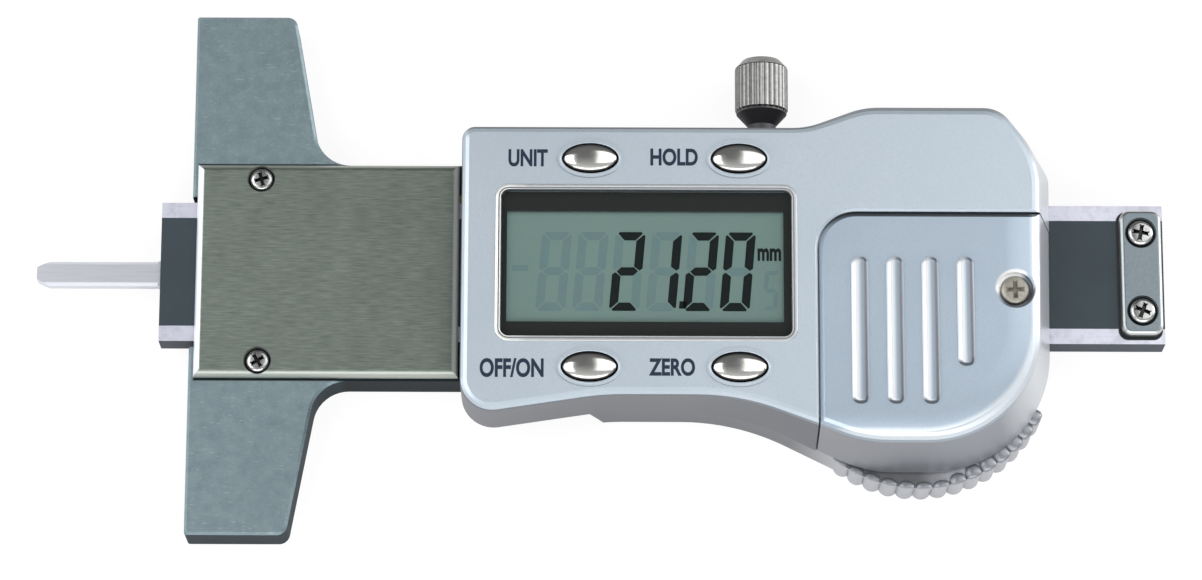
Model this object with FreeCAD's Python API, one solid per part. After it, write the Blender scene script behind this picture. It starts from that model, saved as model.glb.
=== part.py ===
import FreeCAD, Part
import math
import os

# Digital depth gauge, in millimetres. It lies on its back with the display up.
# The origin is the point of the measuring face where the depth pin's axis passes through it.
# +X runs back along the beam, +Y is the lock screw's side and +Z points out of the display.

# Stroke and fits
stroke = 25.0                     # what the scale reads, from pin flush to beam against its stop
pin_reach = 17.3                  # pin tip ahead of the measuring face at rest
sliding_play = 0.05               # between each pair of ground sliding faces
thread_play = 0.03                # between a screw's shank and its hole
seam_gap = 0.2                    # joint line between the battery cover and the front shell
seam_shell_bevel = 0.25           # along the joint line's two sides at the front face
seam_cover_bevel = 0.45
assembly_play = 0.15              # between moulded pieces and what they go round
overrun = 3.0                     # how far each cut runs past the solid that it opens

# Beam, pin and stop plate
beam_width = 16.0
beam_thickness = 3.5
beam_lead = 3.4                   # beam end ahead of the measuring face at rest
beam_tail = 0.3                   # beam end behind the stop plate
strip_edge = 1.75                 # steel left beside the scale strip
strip_thickness = 0.5
pin_width = 2.8
pin_thickness = 1.8
pin_tang = 9.0                    # length held in the beam's end
pin_taper = 1.4                   # length of the two slopes at the tip
pin_tip_width = 1.4
pin_bevel = 0.35                  # along the pin's long edges
stop_length = 4.6
stop_edge = 0.85                  # beam left beside the stop plate
stop_thickness = 1.4
stop_round = 1.1
stop_edge_round = 0.45
stop_screw_edge = 2.65            # screw's axis from the plate's end
stop_screw_radius = 1.6
stop_screw_head = 0.7
stop_screw_sink = 0.45            # depth of the head's seat in the stop plate
stop_screw_length = 2.6

# Screws from the back, and every screw's cross recess
back_screw_radius = 1.9
back_screw_shank = 0.85
back_screw_cone = 1.1
back_screw_length = 9.0
back_screw_edge = 0.2             # steel left beside the countersunk head
small_shank_radius = 0.8
cross_width_share = 0.26          # cross recess, of its screw's head
cross_reach_share = 0.62
cross_depth_share = 0.6

# Base and slider frame, one piece of steel
base_width = 60.0
base_depth = 11.2                 # along X at the wing tips
base_tip_round = 1.2
base_heel_round = 0.3
wing_root_depth = 14.35           # along X where the wings meet the neck
wing_root_round = 4.0
frame_end_round = 0.5
frame_thickness = 5.5
frame_floor = 1.9                 # steel left under the beam
frame_bevel = 0.3
mouth_length = 8.0                # channel widened at the measuring face
mouth_gap = 0.65
gib_thickness = 0.9
gib_start = 12.0
gib_end_margin = 4.2              # steel left past the gib strip's far end
gib_side_wall = 0.55              # steel between the gib's channel and the back screws' holes
gib_screw_spacing = 32.0
gib_screw_radius = 0.9
gib_screw_access_radius = 1.3
gib_screw_sink = 0.3              # set screw's outer end below the frame's side
gib_screw_slot = 0.36             # width of the slot in its end
gib_screw_slot_depth = 0.9

# Cover plate over the channel
cover_setback = 0.6               # from the measuring face
cover_housing_gap = 0.45
cover_side_margin = 0.25          # neck left beside the plate
cover_thickness = 1.2
cover_edge_round = 0.8            # along the plate's front edges
cover_screw_setback = 7.15        # screw's axis from the plate's nose
cover_screw_edge = 0.25           # plate left beside the screw's seat
cover_screw_radius = 1.3
cover_screw_head = 0.65
cover_screw_seat_radius = 1.5
cover_screw_seat = 0.75           # depth of the head's seat in the plate
cover_screw_length = 4.0

# Lock screw and its brass shoe
lock_lead = 4.6                   # lock screw's axis before the rise of the top edge
lock_thread_radius = 1.45
lock_rest_gap = 0.3               # shoe to gib strip at rest
lock_hole_play = 0.25             # round the shank in the back shell's wall
shoe_length = 1.2
knob_radius = 3.0
knob_offset = 4.75                # where the knurl starts, past the top edge over the display
knob_length = 6.3
knob_chamfer = 1.1
knob_chamfer_depth = 0.75
knob_cone_length = 3.3
knob_cone_radius = 1.75
knob_groove_count = 26
knob_groove_radius = 0.2

# Reader housing along X, from its end near the base
housing_left = 30.45
window_offset = 4.35              # from the housing's end to the display window
window_length = 32.1
seam_offset = 2.8                 # from the window to the battery cover
rise_lead = 1.1                   # the top edge starts to rise before the cover's seam
rise_length = 6.4
waist_offset = 15.75              # from the housing's end to the waist
sweep_length = 13.8               # slope between waist and belly
belly_offset = 5.1                # from the cover's seam to the belly
shoulder_length = 4.3
cell_offset = 9.8                 # from the cover's seam to the cell's axis
battery_screw_offset = 11.95      # from the cell's axis to the cover's screw
battery_screw_end = 2.85          # from that screw's axis to the housing's far end
end_wall = 1.95                   # shell past the frame's far end, at its foot

# Reader housing across Y, past the sides of the neck
low_top_margin = 2.15             # top edge over the display
high_top_margin = 4.35            # top edge over the battery end
cheek_margin = 1.2                # the right side's upper end, inside the neck's side
foot_cheek_margin = 1.3
heel_margin = 5.9
waist_margin = 3.5
belly_margin = 8.45
belly_slant = 0.4                 # how much further left the right side is at its lower end

# Reader housing, rounds of its outline
nose_round = 1.4
rise_round = 9.0
shoulder_round = 3.5
cheek_round = 10.0
foot_cheek_round = 2.5
belly_round = 12.6
sweep_round = 15.0
waist_round = 26.0
hollow_round = 30.0
heel_round = 3.6
front_edge_round = 0.8
front_edge_steps = 3

# Reader housing, how far its sides stand out further where they meet the frame's front
side_flare = 1.85
top_flare = 2.2
belly_flare = 1.9

# Reader housing, walls
shell_wall = 1.3
front_wall = 1.4
cover_wall = 1.0
shell_floor = 1.1
least_round_share = 0.1           # of a round, kept where an outline is moved inwards past it

# Display window
window_top_margin = 7.4           # from the top edge over the display
window_bottom_margin = 6.55       # from the waist
window_round = 0.9
window_bevel = 0.3
lens_thickness = 0.85
lens_sink = 0.1
view_left_margin = 0.7            # the shell's opening inside the window
view_right_margin = 0.9
view_top_margin = 2.25
view_bottom_margin = 1.85
lcd_margin = 0.75                 # display glass past the clear view, left and right
lcd_ledge = 1.9                   # contact ledge of the front glass, above and below
lcd_ledge_margin = 0.75           # display glass past the clear view, above and below
lcd_front_glass = 1.0
lcd_back_glass = 1.1
zebra_width = 1.3
zebra_end_gap = 1.0

# Keys
left_key_offset = 9.85            # from the window's left end
right_key_offset = 5.8            # from the window's right end
upper_key_margin = 3.85           # from the top edge over the display
lower_key_margin = 3.05           # from the waist
key_length = 6.0
key_width = 3.2
key_gap = 0.15                    # round each key in its opening
key_rise = 0.25                   # straight side above the front face
key_dome_rise = 0.5
key_dome_shares = ((1.0, 0.0), (0.9, 0.45), (0.7, 0.8), (0.35, 1.0))
key_collar_width = 0.45
key_collar_rise = 0.15
key_flange_width = 0.25
key_flange = 0.8
key_flange_gap = 0.05
key_stem_radius = 1.1
lower_stem_shift = 2.1            # the lower keys' stems stand towards the display
dome_radius = 1.6
dome_top_radius = 1.15
dome_foot = 0.5
dome_height = 3.3

# Battery cover
seam_y = 4.9
seam_round = 4.3
cover_lift = 0.4                  # cover skirt's lower edge above the frame's front
rib_count = 4
rib_offset = 4.6                  # from the seam to the first rib
rib_pitch = 3.87
rib_width = 1.9
rib_rise = 0.6
rib_top_margin = 5.3              # from the seam
rib_bottom_margin = 3.95          # from the belly
last_rib_margin = 8.25
ledge_inside = 1.0                # ledge under the battery cover's edge
ledge_outside = 1.2
ledge_gap = 0.05
battery_screw_y = -3.9
battery_screw_radius = 1.45
battery_screw_head = 0.7
battery_screw_seat_radius = 1.95
battery_screw_seat = 1.1
battery_screw_rim = 0.25          # bevel round the seat's edge
battery_screw_web = 0.9
battery_screw_boss = 2.3
battery_screw_shank = 0.8
battery_screw_length = 4.6

# Battery and its pocket
cell_radius = 5.8
cell_height = 5.4
cell_headroom = 0.15              # from the cell to the front wall's inside
cell_cap_radius = 4.5
cell_cap_height = 0.5
cell_edge_round = 0.4
cell_y = -7.5
pocket_gap = 0.2
pocket_wall = 0.9
pocket_floor = 0.7
pocket_rim_drop = 1.2             # rim below the cell's top
pocket_hole_radius = 3.2
leaf_thickness = 0.2
leaf_width = 2.4
leaf_length = 5.4
side_leaf_width = 4.0
side_leaf_drop = 1.75             # side leaf's upper end below the cell's top
side_leaf_foot = 1.9
leaf_slot_play = 0.3

# Circuit board and what it carries
board_thickness = 0.8
board_left_margin = 1.75          # from the housing's end
board_past_cell = 6.6             # from the cell's axis to the board's far end
board_past_neck = 0.05
board_corner = 0.6
boss_notch_gap = 0.25
board_screw_radius = 1.2
board_screw_head = 0.6
board_screw_length = 3.2
far_board_screw_lead = 1.5        # the far board screw before the cell's axis
glob_radius = 3.6
glob_height = 1.1
crystal_radius = 1.0
crystal_length = 6.0
crystal_offset = 2.1              # crystal's end from the cover's seam
crystal_margin = 2.7              # crystal's axis above the seam
capacitor_length = 1.6
capacitor_width = 0.85
capacitor_height = 0.8
capacitor_reach = 10.0            # from the chip's centre
capacitor_step = 4.0
capacitor_gap = 2.0               # from the battery's pocket

# Bosses for the screws from the back
frame_screw_offset = 5.75         # from the housing's end
frame_screw_end = 5.7             # from the frame's far end
boss_radius = 1.9
low_boss_top = 3.4                # bosses under the battery cover, above the frame's front
shell_screw_edge = 1.15           # from the top edge over the battery end
shell_screw_belly_edge = 4.1      # the lower shell screws from the belly
shell_screw_lead = 4.5            # the first of them before the cell's axis
shell_screw_lag = 6.5             # the second past it

# Back shell and its thumb rest
back_shell_offset = 13.95         # from the housing's end
back_shell_slope = 1.8            # its left end leans by this over the frame's thickness
back_shell_step = 0.2             # inside the front shell's outline
back_shell_wall = 1.6
beam_slot_play = 0.25
grip_offset = 1.7                 # thumb rest's centre past the cell's axis
grip_proud = 3.65                 # thumb rest past the belly
grip_radius = 15.5
grip_depth = 0.5
grip_pitch = 2.05
grip_start_angle = 231.5
grip_end_angle = 334.0
grip_height = 5.2

# Plain plate in the frame's back
back_plate_length = 40.0
back_plate_width = 13.0
back_plate_thickness = 0.3
back_plate_round = 1.0

# Across: what the beam, its gib and the back screws need makes the neck's width
channel_half = beam_width / 2 + sliding_play
gib_wall = channel_half + gib_thickness + sliding_play
frame_screw_y = gib_wall + gib_side_wall + back_screw_shank
neck_half = frame_screw_y + back_screw_radius + back_screw_edge
strip_half = beam_width / 2 - strip_edge
stop_half = beam_width / 2 - stop_edge
cover_half = neck_half - cover_side_margin
cover_screw_y = cover_half - cover_screw_edge - cover_screw_seat_radius
low_top = neck_half + low_top_margin
high_top = neck_half + high_top_margin
cheek_y = neck_half - cheek_margin
foot_cheek_y = neck_half - foot_cheek_margin
heel_y = -neck_half - heel_margin
waist_y = -neck_half - waist_margin
belly_y = -neck_half - belly_margin
window_top = low_top - window_top_margin
window_bottom = waist_y + window_bottom_margin
view_top = window_top - view_top_margin
view_bottom = window_bottom + view_bottom_margin
upper_key_y = low_top - upper_key_margin
lower_key_y = waist_y + lower_key_margin
board_half_width = neck_half + board_past_neck
rib_top = seam_y - rib_top_margin
grip_y = belly_y - grip_proud + grip_radius
shoe_tip = gib_wall + lock_rest_gap
knob_start = low_top + knob_offset
knob_cone_start = knob_start - knob_cone_length

# Along: each place follows the one before it
cover_length = housing_left - cover_housing_gap - cover_setback
cover_screw_x = cover_setback + cover_screw_setback
window_left = housing_left + window_offset
window_right = window_left + window_length
view_left = window_left + view_left_margin
view_right = window_right - view_right_margin
left_key_x = window_left + left_key_offset
right_key_x = window_right - right_key_offset
seam_x = window_right + seam_offset
rise_start = seam_x - rise_lead
rise_end = rise_start + rise_length
belly_start = seam_x + belly_offset
waist_start = housing_left + waist_offset
waist_end = belly_start - sweep_length
cell_x = seam_x + cell_offset
battery_screw_x = cell_x + battery_screw_offset
housing_right = battery_screw_x + battery_screw_end
shoulder_x = housing_right - shoulder_length
foot_right = housing_right + side_flare
frame_end = foot_right - end_wall
frame_screw_left = housing_left + frame_screw_offset
frame_screw_right = frame_end - frame_screw_end
board_left = housing_left + board_left_margin
board_right = cell_x + board_past_cell
board_screw_x = (left_key_x + right_key_x) / 2
glob_x = (window_left + window_right) / 2
glob_y = (window_bottom + window_top) / 2
lock_x = rise_start - lock_lead
gib_length = frame_end - gib_end_margin - gib_start
grip_x = cell_x + grip_offset
grip_pocket_radius = grip_radius - grip_depth - back_shell_wall
back_shell_start = housing_left + back_shell_offset
back_plate_left = (frame_screw_left + frame_screw_right - back_plate_length) / 2
stop_x = foot_right + stroke - pin_reach + sliding_play
stop_screw_x = stop_x + stop_length / 2
beam_end = stop_x + stop_length + beam_tail

# Heights: frame, board, cell and front wall stand on each other
back_z = -(frame_floor + sliding_play + beam_thickness / 2)
seat_z = back_z + frame_thickness              # the frame's front, where shells and board seat
beam_front_z = beam_thickness / 2
board_top_z = seat_z + board_thickness
pocket_floor_z = board_top_z + ledge_gap
cell_z = pocket_floor_z + pocket_floor
cell_top_z = cell_z + cell_height
inner_front_z = cell_top_z + cell_headroom
front_z = inner_front_z + front_wall
floor_top_z = seat_z + shell_floor
skirt_z = seat_z + cover_lift
lens_z = front_z - lens_sink - lens_thickness
dome_top_z = board_top_z + dome_height
flange_top_z = inner_front_z - key_flange_gap
ledge_top_z = inner_front_z - ledge_gap

V = FreeCAD.Vector


def box(x_span, y_span, z_span):
    """Block between two limits along each axis."""
    low = V(x_span[0], y_span[0], z_span[0])
    size = V(x_span[1], y_span[1], z_span[1]) - low
    return Part.makeBox(size.x, size.y, size.z, low)


def post(x, y, radius, z_span):
    """Upright round post."""
    return Part.makeCylinder(radius, z_span[1] - z_span[0], V(x, y, z_span[0]))


def side_rod(x, radius, y_span):
    """Round rod along Y at the height of the beam's axis."""
    return Part.makeCylinder(radius, y_span[1] - y_span[0], V(x, y_span[0], 0), V(0, 1, 0))


def rounded_wire(corners, z):
    """Closed outline through (x, y, round) corners, each rounded by a tangent arc."""
    arcs = []
    for index, (x, y, radius) in enumerate(corners):
        corner = V(x, y, z)
        before = V(corners[index - 1][0], corners[index - 1][1], z) - corner
        following = corners[(index + 1) % len(corners)]
        after = V(following[0], following[1], z) - corner
        half = before.getAngle(after) / 2
        before.normalize()
        after.normalize()
        middle = before + after
        middle.normalize()
        reach = radius / math.tan(half)
        nearest = corner + middle * (radius / math.sin(half) - radius)
        arcs.append((corner + before * reach, nearest, corner + after * reach))
    edges = []
    for index, (start, nearest, end) in enumerate(arcs):
        if corners[index][2] > 0:
            edges.append(Part.Arc(start, nearest, end).toShape())
        edges.append(Part.LineSegment(end, arcs[(index + 1) % len(arcs)][0]).toShape())
    return Part.Wire(edges)


def inset(corners, distance):
    """The same counter-clockwise outline moved inwards, with its rounds kept concentric."""
    moved = []
    for index, (x, y, radius) in enumerate(corners):
        before = corners[index - 1]
        following = corners[(index + 1) % len(corners)]
        arriving = math.atan2(y - before[1], x - before[0])
        leaving = math.atan2(following[1] - y, following[0] - x)
        turn = (leaving - arriving + math.pi) % (2 * math.pi) - math.pi
        normal = arriving + turn / 2 + math.pi / 2
        reach = distance / math.cos(turn / 2)
        own = radius - distance if turn > 0 else radius + distance
        kept = max(own, radius * least_round_share)
        moved.append((x + reach * math.cos(normal), y + reach * math.sin(normal), kept))
    return moved


def prism(corners, z_span):
    """Plate with a rounded outline between two heights."""
    face = Part.Face(rounded_wire(corners, z_span[0]))
    return face.extrude(V(0, 0, z_span[1] - z_span[0]))


def ruled_solid(sections):
    """Solid through (corners, z) sections that share their corner count."""
    return Part.makeLoft([rounded_wire(corners, z) for corners, z in sections], True, True)


def rectangle(x_span, y_span, radius):
    """Corners of an upright rectangle, counter-clockwise."""
    return [
        (x_span[0], y_span[0], radius),
        (x_span[1], y_span[0], radius),
        (x_span[1], y_span[1], radius),
        (x_span[0], y_span[1], radius),
    ]


def flat_edges(solid, z):
    """Every edge that lies flat at one height."""
    near = sliding_play / 2
    return [e for e in solid.Edges if abs(e.BoundBox.ZMin - z) < near and abs(e.BoundBox.ZMax - z) < near]


def bevel_at(solid, size, z):
    """Chamfer along every edge that lies flat at one height."""
    return solid.makeChamfer(size, flat_edges(solid, z))


def cross_recess(radius, head, top):
    """Cutter for a cross recess, centred on the Z axis, in a head of that radius."""
    reach = radius * cross_reach_share
    half = radius * cross_width_share / 2
    depth = top - head * cross_depth_share
    long_way = box((-reach, reach), (-half, half), (depth, top + overrun))
    other_way = box((-half, half), (-reach, reach), (depth, top + overrun))
    return long_way.fuse(other_way)


def pan_screw(radius, head, shank_radius, length):
    """Cross-head screw, head above z = 0 and shank below it."""
    top = Part.makeCylinder(radius, head)
    rim = [edge for edge in top.Edges if edge.BoundBox.ZMin > head / 2 and edge.isClosed()]
    top = top.makeFillet(head / 2, rim)
    shank = Part.makeCylinder(shank_radius, length, V(0, 0, -length))
    return top.fuse(shank).cut(cross_recess(radius, head, head)).removeSplitter()


def sunk_screw(radius, cone, shank_radius, length):
    """Countersunk screw seen from the back: flat head at z = 0 facing -Z, shank above it."""
    head = Part.makeCone(radius, shank_radius, cone)
    shank = Part.makeCylinder(shank_radius, length)
    recess = cross_recess(radius, cone, 0)
    recess.rotate(V(0, 0, 0), V(1, 0, 0), 180)
    return head.fuse(shank).cut(recess).removeSplitter()


def moved(solid, x, y, z):
    """Copy of a solid at another place."""
    copy = solid.copy()
    copy.translate(V(x, y, z))
    return copy


def save(node, *solids):
    """Write one node, as one solid or as a group of like solids."""
    shape = solids[0] if len(solids) == 1 else Part.makeCompound(list(solids))
    shape.exportStep("parts/" + node + ".step")


def shell_corners(z):
    """The reader's outer outline at a height: narrow at the front face, flared at its foot."""
    share = (front_z - z) / (front_z - seat_z)
    top = high_top + top_flare * share
    right = housing_right + side_flare * share
    belly = belly_y - belly_flare * share
    cheek_edge = cheek_y + (foot_cheek_y - cheek_y) * share
    cheek = cheek_round + (foot_cheek_round - cheek_round) * share
    return [
        (housing_left, low_top, nose_round),
        (housing_left, heel_y, heel_round),
        (waist_start, waist_y, hollow_round),
        (waist_end, waist_y, waist_round),
        (belly_start, belly, sweep_round),
        (right - belly_slant, belly, belly_round + side_flare * share / 2),
        (right, cheek_edge, cheek),
        (shoulder_x + side_flare * share / 2, top, shoulder_round),
        (rise_end, top, rise_round),
        (rise_start, low_top, rise_round),
    ]


def shell_block(distance, low_z, top_z):
    """The reader's flared form, moved inwards by a distance, between two heights."""
    return ruled_solid([
        (inset(shell_corners(low_z), distance), low_z),
        (inset(shell_corners(top_z), distance), top_z),
    ])


def shell_outside():
    """The reader's full form with a rounded front edge."""
    sections = [(shell_corners(seat_z), seat_z)]
    for step in range(front_edge_steps + 1):
        angle = math.pi / 2 * step / front_edge_steps
        z = front_z - front_edge_round * (1 - math.sin(angle))
        distance = front_edge_round * (1 - math.cos(angle))
        sections.append((inset(shell_corners(z), distance), z))
    return ruled_solid(sections)


def cover_corners(distance):
    """Plan of the battery cover, open past the housing to the right and below."""
    far_right = foot_right + overrun
    far_below = belly_y - belly_flare - overrun
    return [
        (seam_x + distance, far_below, 0),
        (far_right, far_below, 0),
        (far_right, seam_y - distance, 0),
        (seam_x + distance, seam_y - distance, seam_round - distance),
    ]


def cover_region(distance):
    """Upright block over that plan, moved inwards by a distance."""
    return prism(cover_corners(distance), (back_z, front_z + overrun))


def seam_taper(distance, bevel, side):
    """Block over the plan that leans by 45 degrees near the front face: side 1 inwards, -1 outwards."""
    rise = bevel + overrun
    return ruled_solid([
        (cover_corners(distance), front_z - bevel),
        (cover_corners(distance + side * rise), front_z + overrun),
    ])


def oval(x, y, length, width, z):
    """Ellipse, longer along X."""
    return Part.Wire(Part.Ellipse(V(x, y, z), length / 2, width / 2).toShape())


def oval_plate(x, y, length, width, z_span):
    """Plate with an oval outline."""
    return Part.Face(oval(x, y, length, width, z_span[0])).extrude(V(0, 0, z_span[1] - z_span[0]))


def base_outline():
    """The T of the base and its neck, counter-clockwise from the lower wing's heel."""
    wing = base_width / 2
    lower = [
        (0, -wing, base_heel_round),
        (base_depth, -wing, base_tip_round),
        (wing_root_depth, -neck_half, wing_root_round),
        (frame_end, -neck_half, frame_end_round),
    ]
    upper = [(x, -y, radius) for x, y, radius in reversed(lower)]
    return lower + upper


def frame_screw_places():
    """The four screws that hold the front shell to the frame."""
    return [(x, y) for x in (frame_screw_left, frame_screw_right) for y in (-frame_screw_y, frame_screw_y)]


def shell_screw_places():
    """The three screws that hold the back shell: one over the battery end, two in the thumb rest."""
    low = belly_y + shell_screw_belly_edge
    upper = (cell_x, high_top - shell_screw_edge)
    return [upper, (cell_x - shell_screw_lead, low), (cell_x + shell_screw_lag, low)]


def board_screw_places():
    """Two board screws between the keys' columns and one over the battery."""
    far = (cell_x - far_board_screw_lead, frame_screw_y)
    return [(board_screw_x, frame_screw_y), (board_screw_x, -frame_screw_y), far]


def gib_screw_places():
    """The two set screws, one each side of the lock screw."""
    return (lock_x - gib_screw_spacing / 2, lock_x + gib_screw_spacing / 2)


def base_frame():
    frame = prism(base_outline(), (back_z, seat_z))
    frame = bevel_at(frame, frame_bevel, seat_z)
    frame = bevel_at(frame, frame_bevel, back_z)
    channel_z = (back_z + frame_floor, seat_z + overrun)
    cuts = [
        box((-overrun, frame_end + overrun), (-channel_half, channel_half), channel_z),
        box((-overrun, mouth_length), (-channel_half - mouth_gap, channel_half + mouth_gap), channel_z),
        box((gib_start, gib_start + gib_length), (0, gib_wall), channel_z),
        side_rod(lock_x, lock_thread_radius + thread_play, (0, neck_half + overrun)),
        prism(back_plate_outline(thread_play), (back_z - overrun, back_z + back_plate_thickness)),
    ]
    for x in gib_screw_places():
        cuts.append(side_rod(x, gib_screw_radius + thread_play, (0, neck_half + overrun)))
    for y in (-cover_screw_y, cover_screw_y):
        depth = cover_screw_length - cover_thickness + cover_screw_seat + thread_play
        cuts.append(thread_hole(cover_screw_x, y, seat_z - depth, seat_z))
    for x, y in board_screw_places():
        depth = board_screw_length - board_thickness + thread_play
        cuts.append(thread_hole(x, y, seat_z - depth, seat_z))
    for x, y in frame_screw_places():
        cuts.append(sunk_hole(x, y))
    return frame.cut(cuts)


def thread_hole(x, y, low_z, top_z):
    """Cutter for a small screw's hole, open at its top."""
    return post(x, y, small_shank_radius + thread_play, (low_z, top_z + overrun))


def sunk_hole(x, y):
    """Countersunk hole from the back."""
    radius = back_screw_shank + thread_play
    bore = post(x, y, radius, (back_z - overrun, seat_z + overrun))
    cone = Part.makeCone(back_screw_radius + thread_play, radius, back_screw_cone, V(x, y, back_z))
    return bore.fuse(cone)


def back_screw(x, y):
    """Countersunk screw in its place in the back."""
    screw = sunk_screw(back_screw_radius, back_screw_cone, back_screw_shank, back_screw_length)
    return moved(screw, x, y, back_z)


def back_plate_outline(play):
    half = back_plate_width / 2 + play
    x_span = (back_plate_left - play, back_plate_left + back_plate_length + play)
    return rectangle(x_span, (-half, half), back_plate_round)


def cover_plate():
    x_span = (cover_setback, cover_setback + cover_length)
    z_span = (seat_z, seat_z + cover_thickness)
    plate = box(x_span, (-cover_half, cover_half), z_span)
    plate = plate.makeFillet(cover_edge_round, flat_edges(plate, z_span[1]))
    seat = z_span[1] - cover_screw_seat
    for y in (-cover_screw_y, cover_screw_y):
        plate = plate.cut(post(cover_screw_x, y, cover_screw_seat_radius, (seat, seat + overrun)))
        plate = plate.cut(thread_hole(cover_screw_x, y, back_z, seat))
    return plate


def cover_plate_screws():
    screw = pan_screw(cover_screw_radius, cover_screw_head, small_shank_radius, cover_screw_length)
    seat = seat_z + cover_thickness - cover_screw_seat
    return [moved(screw, cover_screw_x, y, seat) for y in (-cover_screw_y, cover_screw_y)]


def gib_strip():
    x_span = (gib_start + sliding_play, gib_start + gib_length - sliding_play)
    y_span = (channel_half, channel_half + gib_thickness)
    half = beam_thickness / 2
    return box(x_span, y_span, (-half, half))


def gib_screws():
    y_span = (channel_half + gib_thickness, neck_half - gib_screw_sink)
    slot_y = (y_span[1] - gib_screw_slot_depth, y_span[1])
    half = gib_screw_slot / 2
    screws = []
    for x in gib_screw_places():
        slot = box((x - gib_screw_radius, x + gib_screw_radius), slot_y, (-half, half))
        screws.append(side_rod(x, gib_screw_radius, y_span).cut(slot))
    return screws


def back_plate():
    return prism(back_plate_outline(0), (back_z, back_z + back_plate_thickness))


def stop_screw_rows():
    return (stop_screw_edge - stop_half, stop_half - stop_screw_edge)


def beam():
    half = beam_width / 2
    body = box((-beam_lead, beam_end), (-half, half), (-beam_thickness / 2, beam_front_z))
    recess = box((-beam_lead - overrun, beam_end + overrun), (-strip_half, strip_half),
                 (beam_front_z - strip_thickness, beam_front_z + overrun))
    socket = box((-beam_lead - overrun, -beam_lead + pin_tang), (-pin_width / 2, pin_width / 2),
                 (-pin_thickness / 2, pin_thickness / 2))
    return body.cut([recess, socket] + stop_thread_holes())


def stop_thread_holes():
    """Cutters for the stop plate's screws, down through the scale strip into the beam."""
    depth = stop_screw_length - stop_thickness + stop_screw_sink + thread_play
    return [thread_hole(stop_screw_x, y, beam_front_z - depth, beam_front_z) for y in stop_screw_rows()]


def scale_strip():
    strip = box((-beam_lead, beam_end), (-strip_half, strip_half),
                (beam_front_z - strip_thickness, beam_front_z))
    return strip.cut(stop_thread_holes())


def depth_pin():
    half = pin_width / 2
    tip = pin_tip_width / 2
    tang_end = -beam_lead + pin_tang
    corners = [
        (-pin_reach, -tip, 0),
        (-pin_reach + pin_taper, -half, 0),
        (tang_end, -half, 0),
        (tang_end, half, 0),
        (-pin_reach + pin_taper, half, 0),
        (-pin_reach, tip, 0),
    ]
    blade = prism(corners, (-pin_thickness / 2, pin_thickness / 2))
    long_edges = []
    for edge in blade.Edges:
        limits = edge.BoundBox
        along = limits.XLength > pin_taper * 2
        if along and abs(limits.YLength) < pin_bevel:
            long_edges.append(edge)
    bevelled = blade.makeChamfer(pin_bevel, long_edges)
    free = box((-pin_reach - overrun, -beam_lead - pin_bevel), (-half, half), (-pin_thickness, pin_thickness))
    return bevelled.common(free).fuse(blade.cut(free)).removeSplitter()


def stop_plate():
    outline = rectangle((stop_x, stop_x + stop_length), (-stop_half, stop_half), stop_round)
    z_span = (beam_front_z, beam_front_z + stop_thickness)
    plate = prism(outline, z_span)
    plate = plate.makeFillet(stop_edge_round, flat_edges(plate, z_span[1]))
    seat = z_span[1] - stop_screw_sink
    for y in stop_screw_rows():
        plate = plate.cut(post(stop_screw_x, y, stop_screw_radius + assembly_play, (seat, seat + overrun)))
        plate = plate.cut(thread_hole(stop_screw_x, y, 0, seat))
    return plate


def stop_screws():
    screw = pan_screw(stop_screw_radius, stop_screw_head, small_shank_radius, stop_screw_length)
    seat = beam_front_z + stop_thickness - stop_screw_sink
    return [moved(screw, stop_screw_x, y, seat) for y in stop_screw_rows()]


def housing_front():
    cavity = shell_block(shell_wall, seat_z, inner_front_z)
    walls = shell_outside().cut(cavity).cut(cover_region(0))
    inner_limit = shell_block(cover_wall + assembly_play, seat_z, inner_front_z)
    ledge = cover_region(-ledge_outside).cut(cover_region(ledge_inside))
    ledge_z = (pocket_floor_z, ledge_top_z)
    ledge = ledge.common(box((board_left, foot_right), (-base_width, base_width), ledge_z))
    floor = shell_block((cover_wall + assembly_play + shell_wall) / 2, seat_z, floor_top_z)
    board_room = board_half_width + assembly_play
    room_z = (seat_z - overrun, floor_top_z + overrun)
    floor = floor.cut(box((0, board_right + assembly_play), (-board_room, board_room), room_z))
    pocket_radius = cell_radius + pocket_gap + pocket_wall
    pocket = post(cell_x, cell_y, pocket_radius, (pocket_floor_z, cell_top_z - pocket_rim_drop))
    additions = [ledge, pocket]
    for x, y in frame_screw_places():
        under_cover = x > seam_x and y < seam_y
        top = seat_z + low_boss_top if under_cover else inner_front_z
        additions.append(post(x, y, boss_radius, (seat_z, top)))
    for x, y in shell_screw_places():
        additions.append(post(x, y, boss_radius, (seat_z, seat_z + low_boss_top)))
    screw_boss_top = inner_front_z - battery_screw_web + front_wall - battery_screw_seat - ledge_gap
    additions.append(post(battery_screw_x, battery_screw_y, battery_screw_boss, (seat_z, screw_boss_top)))
    shell = walls.fuse([floor] + [addition.common(inner_limit) for addition in additions])
    collar = 2 * (key_gap + key_collar_width)
    collar_z = (inner_front_z, front_z + key_collar_rise)
    for x, y in key_places():
        shell = shell.fuse(oval_plate(x, y, key_length + collar, key_width + collar, collar_z))
    return shell.cut(front_shell_cuts()).removeSplitter()


def key_places():
    return [(x, y) for x in (left_key_x, right_key_x) for y in (lower_key_y, upper_key_y)]


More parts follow.
